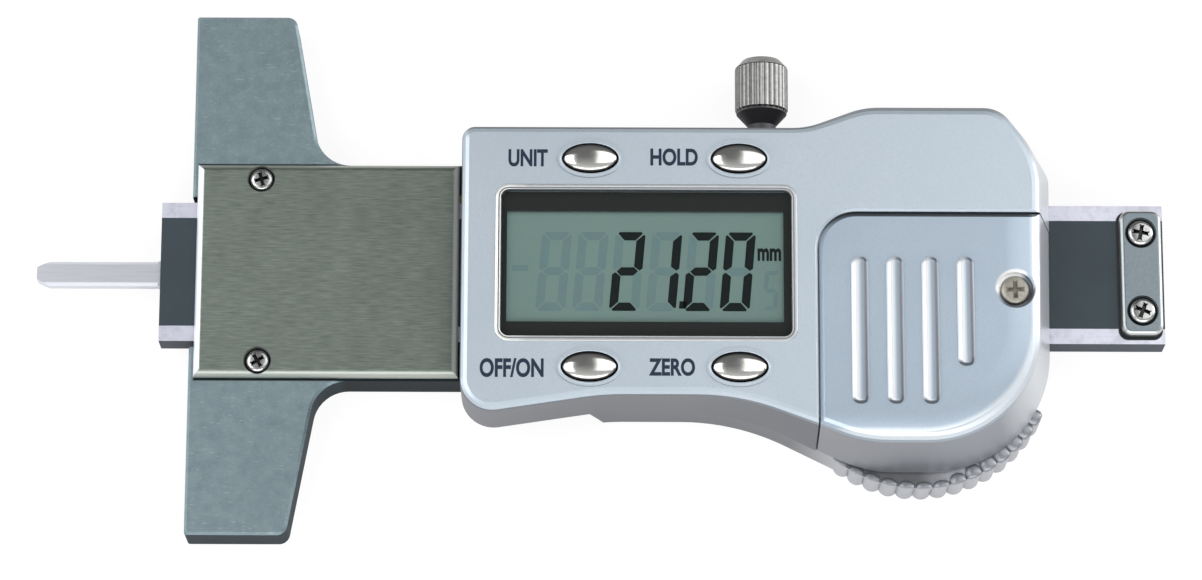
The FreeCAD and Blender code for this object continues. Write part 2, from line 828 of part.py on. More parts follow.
def front_shell_cuts():
    """Everything that opens the front shell: window, keys, pocket, leaf slot and screw holes."""
    window = rectangle((window_left, window_right), (window_bottom, window_top), window_round)
    bevel = ruled_solid([
        (window, front_z - window_bevel),
        (inset(window, -window_bevel - overrun), front_z + overrun),
    ])
    cuts = [
        prism(window, (lens_z, front_z + overrun)),
        bevel,
        box((view_left, view_right), (view_bottom, view_top), (0, front_z)),
        post(cell_x, cell_y, cell_radius + pocket_gap, (cell_z, front_z + overrun)),
        post(cell_x, cell_y, pocket_hole_radius, (0, front_z)),
        leaf_slot(),
        seam_taper(0, seam_shell_bevel, -1),
    ]
    opening_z = (inner_front_z - overrun, front_z + overrun)
    for x, y in key_places():
        cuts.append(oval_plate(x, y, key_length + 2 * key_gap, key_width + 2 * key_gap, opening_z))
    reach = back_z + back_screw_length + thread_play
    for x, y in frame_screw_places() + shell_screw_places():
        cuts.append(post(x, y, back_screw_shank + thread_play, (back_z, reach)))
    seat = front_z - battery_screw_seat
    cuts.append(post(battery_screw_x, battery_screw_y, battery_screw_shank + sliding_play,
                     (seat - battery_screw_length - thread_play, front_z)))
    return cuts


def leaf_slot():
    """Gap in the pocket's wall for the side leaf."""
    half = side_leaf_width / 2 + leaf_slot_play
    x_span = (cell_x - cell_radius - side_leaf_foot - leaf_slot_play, cell_x - cell_radius / 2)
    return box(x_span, (cell_y - half, cell_y + half), (board_top_z, front_z))


def housing_back():
    outline = inset(shell_corners(seat_z), back_shell_step)
    ring = prism(outline, (back_z, seat_z))
    far = base_width
    lean = Part.Face(Part.makePolygon([
        V(0, -far, back_z),
        V(back_shell_start + back_shell_slope, -far, back_z),
        V(back_shell_start, -far, seat_z),
        V(0, -far, seat_z),
        V(0, -far, back_z),
    ])).extrude(V(0, 2 * far, 0))
    ring = ring.cut(lean)
    grip = Part.Face(grip_wire()).extrude(V(0, 0, grip_height))
    shell = ring.fuse(grip)
    half = neck_half + assembly_play / 2
    slot_half = beam_width / 2 + beam_slot_play
    slot_floor = -beam_thickness / 2 - beam_slot_play
    above = seat_z + overrun
    frame_room = box((0, frame_end + assembly_play / 2), (-half, half), (back_z - overrun, above))
    beam_room = box((frame_end, foot_right + overrun), (-slot_half, slot_half), (slot_floor, above))
    cuts = [frame_room, beam_room, grip_pocket()]
    y_span = (0, base_width / 2)
    cuts.append(side_rod(lock_x, lock_thread_radius + lock_hole_play, y_span))
    for x in gib_screw_places():
        cuts.append(side_rod(x, gib_screw_access_radius, y_span))
    for x, y in shell_screw_places():
        cuts.append(sunk_hole(x, y))
    return shell.cut(cuts).removeSplitter()


def grip_wire():
    """Thumb rest outline: a fan about the grip's centre, edged with rounded ridges."""
    sweep = math.radians(grip_end_angle - grip_start_angle)
    count = round(sweep * grip_radius / grip_pitch)

    def at(radius, ridge):
        angle = math.radians(grip_start_angle) + sweep * ridge / count
        return V(grip_x + radius * math.cos(angle), grip_y + radius * math.sin(angle), back_z)

    valley = grip_radius - grip_depth
    centre = V(grip_x, grip_y, back_z)
    edges = [Part.LineSegment(centre, at(valley, 0)).toShape()]
    for ridge in range(count):
        arc = Part.Arc(at(valley, ridge), at(grip_radius, ridge + 1 / 2), at(valley, ridge + 1))
        edges.append(arc.toShape())
    edges.append(Part.LineSegment(at(valley, count), centre).toShape())
    return Part.Wire(edges)


def grip_pocket():
    """Hollow behind the thumb rest, open to the front, with its screw bosses left standing."""
    floor_z = back_z + back_shell_wall
    pocket = post(grip_x, grip_y, grip_pocket_radius, (floor_z, seat_z + overrun))
    limit = neck_half + back_shell_wall
    side = seam_x + back_shell_wall
    pocket = pocket.common(box((side, foot_right), (-base_width, -limit), (back_z, seat_z + overrun)))
    for x, y in shell_screw_places():
        pocket = pocket.cut(post(x, y, boss_radius, (back_z, seat_z + 2 * overrun)))
    return pocket


def battery_cover():
    outside = shell_outside()
    inside = shell_block(cover_wall, seat_z, inner_front_z)
    cover = outside.cut(inside).common(cover_region(seam_gap))
    cover = cover.cut(box((0, foot_right + overrun), (-base_width, base_width), (back_z, skirt_z)))
    edge = prism(cover_corners(-seam_cover_bevel), (front_z - seam_cover_bevel, front_z + overrun))
    cover = cover.cut(edge.cut(seam_taper(seam_gap, seam_cover_bevel, 1)))
    for index in range(rib_count):
        last = index == rib_count - 1
        bottom = belly_y + (last_rib_margin if last else rib_bottom_margin)
        cover = cover.fuse(cover_rib(seam_x + rib_offset + index * rib_pitch, bottom))
    x = battery_screw_x
    y = battery_screw_y
    seat = front_z - battery_screw_seat
    boss = post(x, y, battery_screw_boss, (seat - battery_screw_web, front_z))
    cover = cover.fuse(boss.common(shell_block(cover_wall / 2, seat_z, inner_front_z)))
    cover = cover.cut(post(x, y, battery_screw_seat_radius, (seat, front_z + overrun)))
    cover = cover.cut(post(x, y, battery_screw_shank + assembly_play, (0, front_z)))
    rim = battery_screw_rim + assembly_play
    cover = cover.cut(Part.makeCone(battery_screw_seat_radius, battery_screw_seat_radius + rim, rim,
                                    V(x, y, front_z - battery_screw_rim)))
    return cover.removeSplitter()


def cover_rib(x, bottom):
    """Raised rib with rounded ends and a rounded back."""
    half = rib_width / 2
    rib = prism(rectangle((x - half, x + half), (bottom, rib_top), half * (1 - least_round_share)),
                (front_z - front_wall / 2, front_z + rib_rise))
    top = [edge for edge in rib.Edges if edge.BoundBox.ZMin > front_z + rib_rise / 2]
    return rib.makeFillet(rib_rise * (1 - least_round_share), top)


def battery_cover_screw():
    screw = pan_screw(battery_screw_radius, battery_screw_head, battery_screw_shank, battery_screw_length)
    return moved(screw, battery_screw_x, battery_screw_y, front_z - battery_screw_seat)


def window_lens():
    outline = rectangle((window_left, window_right), (window_bottom, window_top), window_round)
    return prism(inset(outline, thread_play), (lens_z, lens_z + lens_thickness))


def lcd_panel():
    x_span = (view_left - lcd_margin, view_right + lcd_margin)
    low = view_bottom - lcd_ledge_margin
    top = view_top + lcd_ledge_margin
    middle_z = inner_front_z - lcd_front_glass
    front = box(x_span, (low, top), (middle_z, inner_front_z))
    back = box(x_span, (low + lcd_ledge, top - lcd_ledge), (middle_z - lcd_back_glass, middle_z))
    return front.fuse(back)


def zebra_strips():
    x_span = (view_left - lcd_margin + zebra_end_gap, view_right + lcd_margin - zebra_end_gap)
    z_span = (board_top_z, inner_front_z - lcd_front_glass)
    inset_y = (lcd_ledge - zebra_width) / 2
    low = view_bottom - lcd_ledge_margin + inset_y
    top = view_top + lcd_ledge_margin - inset_y
    return [box(x_span, (low, low + zebra_width), z_span), box(x_span, (top - zebra_width, top), z_span)]


def circuit_board():
    outline = rectangle((board_left, board_right), (-board_half_width, board_half_width), board_corner)
    board = prism(outline, (seat_z, board_top_z))
    cuts = []
    for x, y in frame_screw_places():
        cuts.append(post(x, y, boss_radius + boss_notch_gap, (0, board_top_z + overrun)))
        outward = neck_half if y > 0 else -neck_half
        limits = sorted((y, y + outward))
        half = boss_radius + boss_notch_gap
        cuts.append(box((x - half, x + half), limits, (0, board_top_z + overrun)))
    for x, y in board_screw_places():
        cuts.append(post(x, y, small_shank_radius + thread_play, (0, board_top_z + overrun)))
    return board.cut(cuts)


def board_screws():
    screw = pan_screw(board_screw_radius, board_screw_head, small_shank_radius, board_screw_length)
    return [moved(screw, x, y, board_top_z) for x, y in board_screw_places()]


def chip_glob():
    """Low drop of epoxy: the cap of a sphere."""
    ball = (glob_radius ** 2 + glob_height ** 2) / (2 * glob_height)
    sphere = Part.makeSphere(ball, V(glob_x, glob_y, board_top_z + glob_height - ball))
    limit = glob_radius + overrun
    above = box((glob_x - limit, glob_x + limit), (glob_y - limit, glob_y + limit),
                (board_top_z, board_top_z + glob_height + overrun))
    return sphere.common(above)


def board_components():
    """Clock crystal in its can, lying on the board, and chip capacitors."""
    start = V(seam_x + crystal_offset, seam_y + crystal_margin, board_top_z + crystal_radius)
    parts = [Part.makeCylinder(crystal_radius, crystal_length, start, V(1, 0, 0))]
    z_span = (board_top_z, board_top_z + capacitor_height)
    half_length = capacitor_length / 2
    half_width = capacitor_width / 2
    for x, y in capacitor_places():
        parts.append(box((x - half_length, x + half_length), (y - half_width, y + half_width), z_span))
    return parts


def capacitor_places():
    """Two each side of the chip, and two above the battery's pocket."""
    step = capacitor_step / 2
    above = cell_y + cell_radius + pocket_gap + pocket_wall + capacitor_gap
    places = [(glob_x + side * capacitor_reach, glob_y + row * step) for side in (-1, 1) for row in (-1, 1)]
    return places + [(cell_x - step, above), (cell_x + step, above)]


def battery():
    cap = post(cell_x, cell_y, cell_cap_radius, (cell_z, cell_z + cell_cap_height))
    can = post(cell_x, cell_y, cell_radius, (cell_z + cell_cap_height, cell_z + cell_height))
    rims = [edge for edge in can.Edges if edge.isClosed()]
    can = can.makeFillet(cell_edge_round, rims)
    return can.fuse(cap)


def battery_negative_contact():
    """Leaf under the cell: a foot on the board and a tongue that rises to the cell's cap."""
    low = board_top_z
    left = cell_x - leaf_length / 2
    right = cell_x + leaf_length / 2
    half = leaf_width / 2
    profile = Part.makePolygon([
        V(left, cell_y - half, low),
        V(right, cell_y - half, low),
        V(right, cell_y - half, low + leaf_thickness),
        V(left + leaf_width, cell_y - half, low + leaf_thickness),
        V(right - leaf_width / 2, cell_y - half, cell_z - leaf_thickness),
        V(right, cell_y - half, cell_z - leaf_thickness),
        V(right, cell_y - half, cell_z),
        V(right - leaf_width / 2, cell_y - half, cell_z),
        V(left, cell_y - half, low + leaf_thickness),
        V(left, cell_y - half, low),
    ])
    return Part.Face(profile).extrude(V(0, leaf_width, 0))


def battery_positive_contact():
    """Leaf at the cell's side with its foot on the board."""
    face_x = cell_x - cell_radius
    y_span = (cell_y - side_leaf_width / 2, cell_y + side_leaf_width / 2)
    blade = box((face_x - leaf_thickness, face_x), y_span, (board_top_z, cell_top_z - side_leaf_drop))
    foot = box((face_x - side_leaf_foot, face_x), y_span, (board_top_z, board_top_z + leaf_thickness))
    return blade.fuse(foot).removeSplitter()


def key(x, y, stem_shift):
    """Chromed key: domed oval cap, flange under the front wall and a stem down to its dome."""
    flange_z = (flange_top_z - key_flange, flange_top_z)
    side_top = front_z + key_rise
    cap = oval_plate(x, y, key_length, key_width, (flange_z[0], side_top))
    sections = [
        oval(x, y, key_length * share, key_width * share, side_top + key_dome_rise * rise)
        for share, rise in key_dome_shares
    ]
    dome = Part.makeLoft(sections, True, True)
    flange = oval_plate(x, y, key_length + 2 * key_flange_width, key_width + 2 * key_flange_width, flange_z)
    stem = post(x, y + stem_shift, key_stem_radius, (dome_top_z, flange_z[1]))
    solid = cap.fuse([dome, flange, stem])
    if stem_shift > 0:
        bridge = box((x - key_stem_radius, x + key_stem_radius), (y, y + stem_shift), flange_z)
        solid = solid.fuse(bridge)
    return solid


def key_dome(x, y):
    """Silicone dome on the board under a key's stem."""
    foot = post(x, y, dome_radius, (board_top_z, board_top_z + dome_foot))
    cone_low = V(x, y, board_top_z + dome_foot)
    return foot.fuse(Part.makeCone(dome_radius, dome_top_radius, dome_height - dome_foot, cone_low))


def lock_shoe():
    return side_rod(lock_x, lock_thread_radius, (shoe_tip, shoe_tip + shoe_length))


def lock_screw():
    """Straight knurled knob on a cone, with its shank down to the shoe."""
    shank = side_rod(lock_x, lock_thread_radius, (shoe_tip + shoe_length, knob_cone_start))
    axis = V(0, 1, 0)
    cone = Part.makeCone(knob_cone_radius, knob_radius, knob_cone_length, V(lock_x, knob_cone_start, 0), axis)
    barrel_length = knob_length - knob_chamfer
    barrel = side_rod(lock_x, knob_radius, (knob_start, knob_start + barrel_length))
    crown = Part.makeCone(knob_radius, knob_radius - knob_chamfer_depth, knob_chamfer,
                          V(lock_x, knob_start + barrel_length, 0), axis)
    grooves = []
    for index in range(knob_groove_count):
        angle = 2 * math.pi * index / knob_groove_count
        place = V(lock_x + knob_radius * math.cos(angle), knob_start, knob_radius * math.sin(angle))
        grooves.append(Part.makeCylinder(knob_groove_radius, knob_length, place, axis))
    return shank.fuse([cone, barrel, crown]).cut(grooves).removeSplitter()


os.makedirs("parts", exist_ok=True)

save("base_frame", base_frame())
save("cover_plate", cover_plate())
save("cover_plate_screws", *cover_plate_screws())
save("gib_strip", gib_strip())
save("gib_screws", *gib_screws())
save("back_plate", back_plate())
save("beam", beam())
save("scale_strip", scale_strip())
save("depth_pin", depth_pin())
save("stop_plate", stop_plate())
save("stop_screws", *stop_screws())
save("housing_front", housing_front())
save("housing_back", housing_back())
save("battery_cover", battery_cover())
save("battery_cover_screw", battery_cover_screw())
save("window_lens", window_lens())
save("lcd_panel", lcd_panel())
save("zebra_strips", *zebra_strips())
save("circuit_board", circuit_board())
save("board_screws", *board_screws())
save("chip_glob", chip_glob())
save("board_components", *board_components())
save("battery", battery())
save("battery_negative_contact", battery_negative_contact())
save("battery_positive_contact", battery_positive_contact())
save("frame_screws", *[back_screw(x, y) for x, y in frame_screw_places()])
save("shell_screws", *[back_screw(x, y) for x, y in shell_screw_places()])
save("lock_shoe", lock_shoe())
save("lock_screw", lock_screw())

keys = {
    "unit": (left_key_x, upper_key_y, 0),
    "hold": (right_key_x, upper_key_y, 0),
    "off_on": (left_key_x, lower_key_y, lower_stem_shift),
    "zero": (right_key_x, lower_key_y, lower_stem_shift),
}
for name, (x, y, shift) in keys.items():
    save(name + "_button", key(x, y, shift))
    save(name + "_key_dome", key_dome(x, y + shift))
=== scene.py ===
import math

import bmesh
import bpy
from mathutils import Matrix, Vector


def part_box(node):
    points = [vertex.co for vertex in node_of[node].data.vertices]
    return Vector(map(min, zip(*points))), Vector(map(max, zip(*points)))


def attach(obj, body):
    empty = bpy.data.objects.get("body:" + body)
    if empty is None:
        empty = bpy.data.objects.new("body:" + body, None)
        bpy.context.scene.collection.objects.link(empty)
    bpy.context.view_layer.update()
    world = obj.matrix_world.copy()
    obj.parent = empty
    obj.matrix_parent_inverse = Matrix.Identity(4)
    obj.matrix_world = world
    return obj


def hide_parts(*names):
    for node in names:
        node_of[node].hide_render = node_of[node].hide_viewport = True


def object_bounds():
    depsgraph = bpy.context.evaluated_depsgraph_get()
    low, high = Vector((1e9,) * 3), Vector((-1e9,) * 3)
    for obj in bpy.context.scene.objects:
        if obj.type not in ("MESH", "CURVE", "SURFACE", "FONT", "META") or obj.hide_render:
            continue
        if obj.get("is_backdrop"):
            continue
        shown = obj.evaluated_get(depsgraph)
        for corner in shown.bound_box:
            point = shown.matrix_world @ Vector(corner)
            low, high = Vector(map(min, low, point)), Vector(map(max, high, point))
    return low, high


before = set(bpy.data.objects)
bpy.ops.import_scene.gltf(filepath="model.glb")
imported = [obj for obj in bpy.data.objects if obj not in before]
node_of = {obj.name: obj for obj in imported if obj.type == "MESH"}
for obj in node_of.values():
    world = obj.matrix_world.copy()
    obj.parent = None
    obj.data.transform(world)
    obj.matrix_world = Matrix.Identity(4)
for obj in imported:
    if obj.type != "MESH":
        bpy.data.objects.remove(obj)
cad_low, cad_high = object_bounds()


# Measuring base and slider frame: one piece of tool steel, cut to a T and ground on its faces.
# The flanks are painted darker than the ground front, as shade.
mm = 0.001


def linear(code):
    """Linear colour of an sRGB hex value such as 7F9197."""
    shares = [int(code[place:place + 2], 16) / 255 for place in (0, 2, 4)]
    return [c / 12.92 if c <= 0.04045 else ((c + 0.055) / 1.055) ** 2.4 for c in shares] + [1.0]


def feed(node, sockets):
    """Feeds a node's sockets, by name or number, or as a list in the order in which the node shows them.
    Each takes a plain value, a socket, or a node that stands for the first output it shows."""
    if isinstance(sockets, dict):
        pairs = [(node.inputs[key], value) for key, value in sockets.items()]
    else:
        pairs = list(zip([socket for socket in node.inputs if socket.enabled], sockets))
    for socket, value in pairs:
        if isinstance(value, bpy.types.Node):
            value = next(output for output in value.outputs if output.enabled)
        if isinstance(value, bpy.types.NodeSocket):
            node.id_data.links.new(value, socket)
        else:
            socket.default_value = value


def add(tree, kind, sockets=(), **settings):
    """Adds a node with its settings and sockets. A shader node's kind goes without its ShaderNode, and
    each Mix is one of colours."""
    made = tree.nodes.new(kind if "Node" in kind else "ShaderNode" + kind)
    if kind == "Mix":
        made.data_type = "RGBA"
    for name, value in settings.items():
        setattr(made, name, value)
    feed(made, sockets)
    return made


def bare_tree(owner):
    """Empty node tree of a material or a world."""
    owner.use_nodes = True
    owner.node_tree.nodes.clear()
    return owner.node_tree


def coordinates(tree):
    """Two sockets: the object's own coordinates and the way that its surface faces."""
    coords = add(tree, "TexCoord")
    return coords.outputs["Object"], coords.outputs["Normal"]


def start_finish(name, code, metallic, roughness):
    """New material: gives it with its tree, its surface shader and its two coordinate sockets."""
    finish = bpy.data.materials.new(name)
    tree = bare_tree(finish)
    surface = add(tree, "BsdfPrincipled",
                  {"Base Color": linear(code), "Metallic": metallic, "Roughness": roughness})
    add(tree, "OutputMaterial", {"Surface": surface})
    return finish, tree, surface, *coordinates(tree)


def wear(finish, *names):
    """Gives CAD nodes a material."""
    for name in names:
        for place in node_of[name].material_slots:
            place.material = finish


def touch_up(finish, code, *shares):
    """Mixes one more colour over a finish's base colour by the product of shares between 0 and 1."""
    tree = finish.node_tree
    surface = next(node for node in tree.nodes if node.type == "BSDF_PRINCIPLED")
    below = surface.inputs["Base Color"].links[0].from_socket
    share = shares[0]
    for other in shares[1:]:
        share = add(tree, "Math", [share, other], operation="MULTIPLY")
    over = add(tree, "Mix", [share, below, linear(code)])
    feed(surface, {"Base Color": over})


# Ground tool steel: the wheel leaves a fine random grain and faint patches, 1.5 mm across, that
# reflect softly. Specks of 0.2 mm and short scratches catch the light. Each MapRange lists its value,
# the span that it reads and the span that it gives, which is 0 to 1 where none stands.
finish, tree, surface, place, normal = start_finish("ground_tool_steel", "8C9BA1", 1.0, 0.42)
patches = add(tree, "TexNoise", {"Vector": place, "Scale": 1 / (1.5 * mm), "Detail": 5.0, "Roughness": 0.7})
specks = add(tree, "TexNoise", {"Vector": place, "Scale": 1 / (0.22 * mm), "Detail": 1.0})
slanted = add(tree, "Mapping",
              {"Vector": place, "Rotation": (0, 0, math.radians(35)),
               "Scale": (1 / (0.8 * mm), 1 / (0.14 * mm), 1 / (3 * mm))})
scratches = add(tree, "TexNoise", {"Vector": slanted, "Scale": 1.0, "Detail": 0.0})
tone = add(tree, "MapRange", [patches, 0.3, 0.7])
ground = add(tree, "Mix", [tone, linear("7F9197"), linear("91A3A8")])
bright = add(tree, "MapRange", [specks, 0.6, 0.8, 0, 0.25])
lines = add(tree, "MapRange", [scratches, 0.74, 0.85, 0, 0.4])
marks = add(tree, "Math", [bright, lines], operation="MAXIMUM")
speckled = add(tree, "Mix", [marks, ground, linear("C2CDD0")])
# Faces that turn away from the front take the dark flank tone: painted shade.
facing = add(tree, "SeparateXYZ", [normal])
upright = add(tree, "Math", [facing.outputs["Z"]], operation="ABSOLUTE")
front = add(tree, "MapRange", [upright, 0.3, 0.62])
shaded = add(tree, "Mix", [front, linear("2E3B42"), speckled])
rough = add(tree, "MapRange", [front, 0, 1, 0.62, 0.42])
bump = add(tree, "Bump", {"Strength": 0.25, "Distance": 0.01 * mm, "Height": specks})
feed(surface, {"Base Color": shaded, "Roughness": rough, "Normal": bump})
wear(finish, "base_frame")

# A dark line is painted along the cover plate's edges, as the shadow under the plate.
spread = add(tree, "SeparateXYZ", [place])
aside = add(tree, "Math", [spread.outputs["Y"]], operation="ABSOLUTE")
plate_edge_shadow = add(tree, "MapRange", [aside, 12.62 * mm, 12.48 * mm])
behind = add(tree, "MapRange", [spread.outputs["X"], 0.5 * mm, 0.65 * mm])
touch_up(finish, "1E2528", plate_edge_shadow, behind)


# Cover plate: stainless sheet over the beam's channel, brushed along the beam, its front edges
# rolled. The rolled edges are painted lighter as a highlight, near white at the nose and pale at the right
# end.
finish, tree, surface, place, normal = start_finish("brushed_stainless", "7C8684", 1.0, 0.36)
along = add(tree, "Mapping", {"Vector": place, "Scale": (1 / (2.0 * mm), 1 / (0.16 * mm), 1 / (0.6 * mm))})
streaks = add(tree, "TexNoise", {"Vector": along, "Scale": 1.0, "Detail": 4.0, "Roughness": 0.6})
clouds = add(tree, "TexNoise", {"Vector": place, "Scale": 1 / (5 * mm), "Detail": 3.0})
tone = add(tree, "MapRange", [streaks, 0.2, 0.8])
tint = add(tree, "Mix", [tone, linear("6C7670"), linear("9AA49A")])
cloudy = add(tree, "Mix", [0.12, tint, clouds], blend_type="OVERLAY")
facing = add(tree, "SeparateXYZ", [normal])
# Painted highlights: the rolled edges lighter, the nose near white.
rolled = add(tree, "MapRange", [facing.outputs["Z"], 0.98, 0.8])
roll = add(tree, "Mix", [rolled, cloudy, linear("AEB3AC")])
nose_highlight = add(tree, "MapRange", [facing.outputs["X"], -0.08, -0.4])
shaded = add(tree, "Mix", [nose_highlight, roll, linear("F2F6FF")])
bare = add(tree, "MapRange", [rolled, 0, 1, 1.0, 0.45])
feed(surface, {"Metallic": bare})
rough = add(tree, "MapRange", [streaks, 0, 1, 0.3, 0.44])
bump = add(tree, "Bump", {"Strength": 0.3, "Distance": 0.006 * mm, "Height": streaks})
feed(surface, {"Base Color": shaded, "Roughness": rough, "Normal": bump})
# Painted highlight on faces that turn to the right end.
tail_highlight = add(tree, "MapRange", [facing.outputs["X"], 0.08, 0.4])
touch_up(finish, "EEF0EA", tail_highlight)


def screw_ring_shadow(finish, node, radius):
    """Painted shadow in a dark ring round each screw of a row along Y, out to a radius in millimetres."""
    low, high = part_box(node)
    tree = finish.node_tree
    place, normal = coordinates(tree)
    half_row = (high.y - low.y - high.x + low.x) / 2
    offset = add(tree, "VectorMath", [place, (low + high) / 2], operation="SUBTRACT")
    folded = add(tree, "VectorMath", [offset], operation="ABSOLUTE")
    across = add(tree, "VectorMath", [folded, (0, half_row, 0)], operation="SUBTRACT")
    flat = add(tree, "VectorMath", [across, (1, 1, 0)], operation="MULTIPLY")
    away = add(tree, "VectorMath", [flat], operation="LENGTH")
    share = add(tree, "MapRange", [away, (radius + 0.06) * mm, (radius - 0.06) * mm])
    touch_up(finish, "1B2023", share)


# Painted shadow round the cover plate's screws.
screw_ring_shadow(finish, "cover_plate_screws", 1.52)
wear(finish, "cover_plate")


# Screws: cold headed steel wire, nickel plated, with a cross recess whose faces are painted dark
# as shade. Two hold the cover plate; the same heads close the stop plate and the battery cover.
def two_tones(surface, place, size, detail, dark, light):
    """Colours a surface with a random grain of two tones; the grain's size is in millimetres."""
    tree = surface.id_data
    grain = add(tree, "TexNoise", {"Vector": place, "Scale": 1 / (size * mm), "Detail": detail})
    tint = add(tree, "Mix", [grain, linear(dark), linear(light)])
    feed(surface, {"Base Color": tint})
    return grain


def screw_finish(name, light, dark, recess, roughness):
    """Plate in two tones, with a dark tone, as painted shade, where a face is marked as recess."""
    finish, tree, surface, place, normal = start_finish(name, light, 1.0, roughness)
    grain = two_tones(surface, place, 0.4, 3.0, dark, light)
    recess_shade = add(tree, "Attribute", attribute_name="recess")
    touch_up(finish, recess, recess_shade.outputs["Fac"])
    bare = add(tree, "Math", [1.0, recess_shade.outputs["Fac"]], operation="SUBTRACT")
    bump = add(tree, "Bump", {"Strength": 0.3, "Distance": 0.02 * mm, "Height": grain})
    feed(surface, {"Metallic": bare, "Normal": bump})
    return finish


bright_screw = screw_finish("nickel_plated_screw", "D4D5D3", "A9AAA8", "0E0F10", 0.24)
dull_screw = screw_finish("dulled_screw", "BDBAB1", "97938A", "837F75", 0.46)
wear(bright_screw, "gib_screws", "board_screws", "frame_screws", "shell_screws")


def add_object(name, mesh, finish):
    """Links a mesh as an object, smooth where its faces meet at less than 35 degrees."""
    mesh.name = name
    mesh.materials.clear()
    mesh.materials.append(finish)
    mesh.shade_smooth()
    mesh.set_sharp_from_angle(angle=math.radians(35))
    made = bpy.data.objects.new(name, mesh)
    bpy.context.scene.collection.objects.link(made)
    return made


def loft(rows, ring=False):
    """Mesh through closed outlines with equal counts of points, capped, or joined end to end as a ring."""
    mesh = bpy.data.meshes.new("loft")
    shape = bmesh.new()
    loops = [[shape.verts.new(point) for point in row] for row in rows]
    pairs = list(zip(loops, loops[1:]))
    if ring:
        pairs.append((loops[-1], loops[0]))
    else:
        shape.faces.new(list(reversed(loops[0])))
        shape.faces.new(loops[-1])
    for low, high in pairs:
        for index in range(len(low)):
            following = (index + 1) % len(low)
            shape.faces.new((low[index], low[following], high[following], high[index]))
    bmesh.ops.recalc_face_normals(shape, faces=shape.faces)
    shape.to_mesh(mesh)
    shape.free()
    return mesh


def ellipse(centre, half_length, half_width, z, count=48):
    """Points of an upright ellipse's outline, counter-clockwise."""
    turns = [2 * math.pi * step / count for step in range(count)]
    return [(centre[0] + half_length * math.cos(t), centre[1] + half_width * math.sin(t), z) for t in turns]


def evaluated(maker):
    """Plain mesh of an object with its modifiers; the object goes."""
    bpy.context.view_layer.update()
    mesh = bpy.data.meshes.new_from_object(maker.evaluated_get(bpy.context.evaluated_depsgraph_get()))
    bpy.data.objects.remove(maker)
    return mesh


def cross_screw(radius, head, shank_radius, length):
    """Object of one cross-head screw: head above z = 0, shank below, recess faces marked."""
    levels = [(shank_radius, -length), (shank_radius, 0), (radius, 0), (radius, head * 0.35)]
    for step in range(1, 6):
        turn = math.pi / 2 * step / 5
        levels.append((radius * (0.66 + 0.34 * math.cos(turn)), head * (0.35 + 0.6 * math.sin(turn))))
    levels.append((radius * 0.3, head))
    screw = add_object("screw", loft([ellipse((0, 0), r, r, z, 40) for r, z in levels]), bright_screw)
    arm, reach, depth = radius * 0.15, radius * 0.6, head * 0.75
    for long_x, long_y in ((reach, arm), (arm, reach)):
        rows = []
        for share, z in ((0.55, head - depth), (1.0, head), (1.2, head + depth)):
            x, y = long_x * share, long_y * (0.4 + 0.6 * share)
            rows.append([(-x, -y, z), (x, -y, z), (x, y, z), (-x, y, z)])
        cutter = add_object("recess", loft(rows), bright_screw)
        cut = screw.modifiers.new("recess", "BOOLEAN")
        cut.operation = "DIFFERENCE"
        cut.solver = "EXACT"
        cut.object = cutter
    cutters = [cut.object for cut in screw.modifiers]
    mesh = evaluated(screw)
    for cutter in cutters:
        bpy.data.objects.remove(cutter)
    marks = mesh.attributes.new("recess", "FLOAT", "FACE")
    for face in mesh.polygons:
        x, y, z = face.center
        arms = abs(x) < arm * 1.01 or abs(y) < arm * 1.01
        marks.data[face.index].value = float(arms and math.hypot(x, y) < reach and 0 < z < head * 0.97)
    return add_object("screw", mesh, bright_screw)


# One tree places copies of a piece: each point has its own turn, and a random one about Z within
# the jitter.
copier = bpy.data.node_groups.new("placed_copies", "GeometryNodeTree")
for label, kind in (("Points", "NodeSocketGeometry"), ("Piece", "NodeSocketObject"),
                    ("Finish", "NodeSocketMaterial"), ("Jitter", "NodeSocketFloat"),
                    ("Seed", "NodeSocketInt")):
    copier.interface.new_socket(label, in_out="INPUT", socket_type=kind)
copier.interface.new_socket("Geometry", in_out="OUTPUT", socket_type="NodeSocketGeometry")
given = add(copier, "NodeGroupInput")
piece = add(copier, "GeometryNodeObjectInfo", {"Object": given.outputs["Piece"]})
negative = add(copier, "Math", [given.outputs["Jitter"], -1.0], operation="MULTIPLY")
# The random value's floats are its sockets 2 and 3, its seed is socket 8 and its result is output 1.
random_turn = add(copier, "FunctionNodeRandomValue",
                  {2: negative, 3: given.outputs["Jitter"], 8: given.outputs["Seed"]}, data_type="FLOAT")
about_z = add(copier, "CombineXYZ", {"Z": random_turn.outputs[1]})
loose = add(copier, "FunctionNodeEulerToRotation", {"Euler": about_z})
own_turn = add(copier, "GeometryNodeInputNamedAttribute", {"Name": "turn"}, data_type="FLOAT_VECTOR")
fixed = add(copier, "FunctionNodeEulerToRotation", {"Euler": own_turn.outputs["Attribute"]})
facing = add(copier, "FunctionNodeRotateRotation", {"Rotation": loose, "Rotate By": fixed})
own_size = add(copier, "GeometryNodeInputNamedAttribute", {"Name": "stretch"}, data_type="FLOAT_VECTOR")
copies = add(copier, "GeometryNodeInstanceOnPoints",
             {"Points": given.outputs["Points"], "Instance": piece.outputs["Geometry"], "Rotation": facing,
              "Scale": own_size.outputs["Attribute"]})
real = add(copier, "GeometryNodeRealizeInstances", {"Geometry": copies})
dressed = add(copier, "GeometryNodeSetMaterial", {"Geometry": real, "Material": given.outputs["Finish"]})
add(copier, "NodeGroupOutput", {"Geometry": dressed})


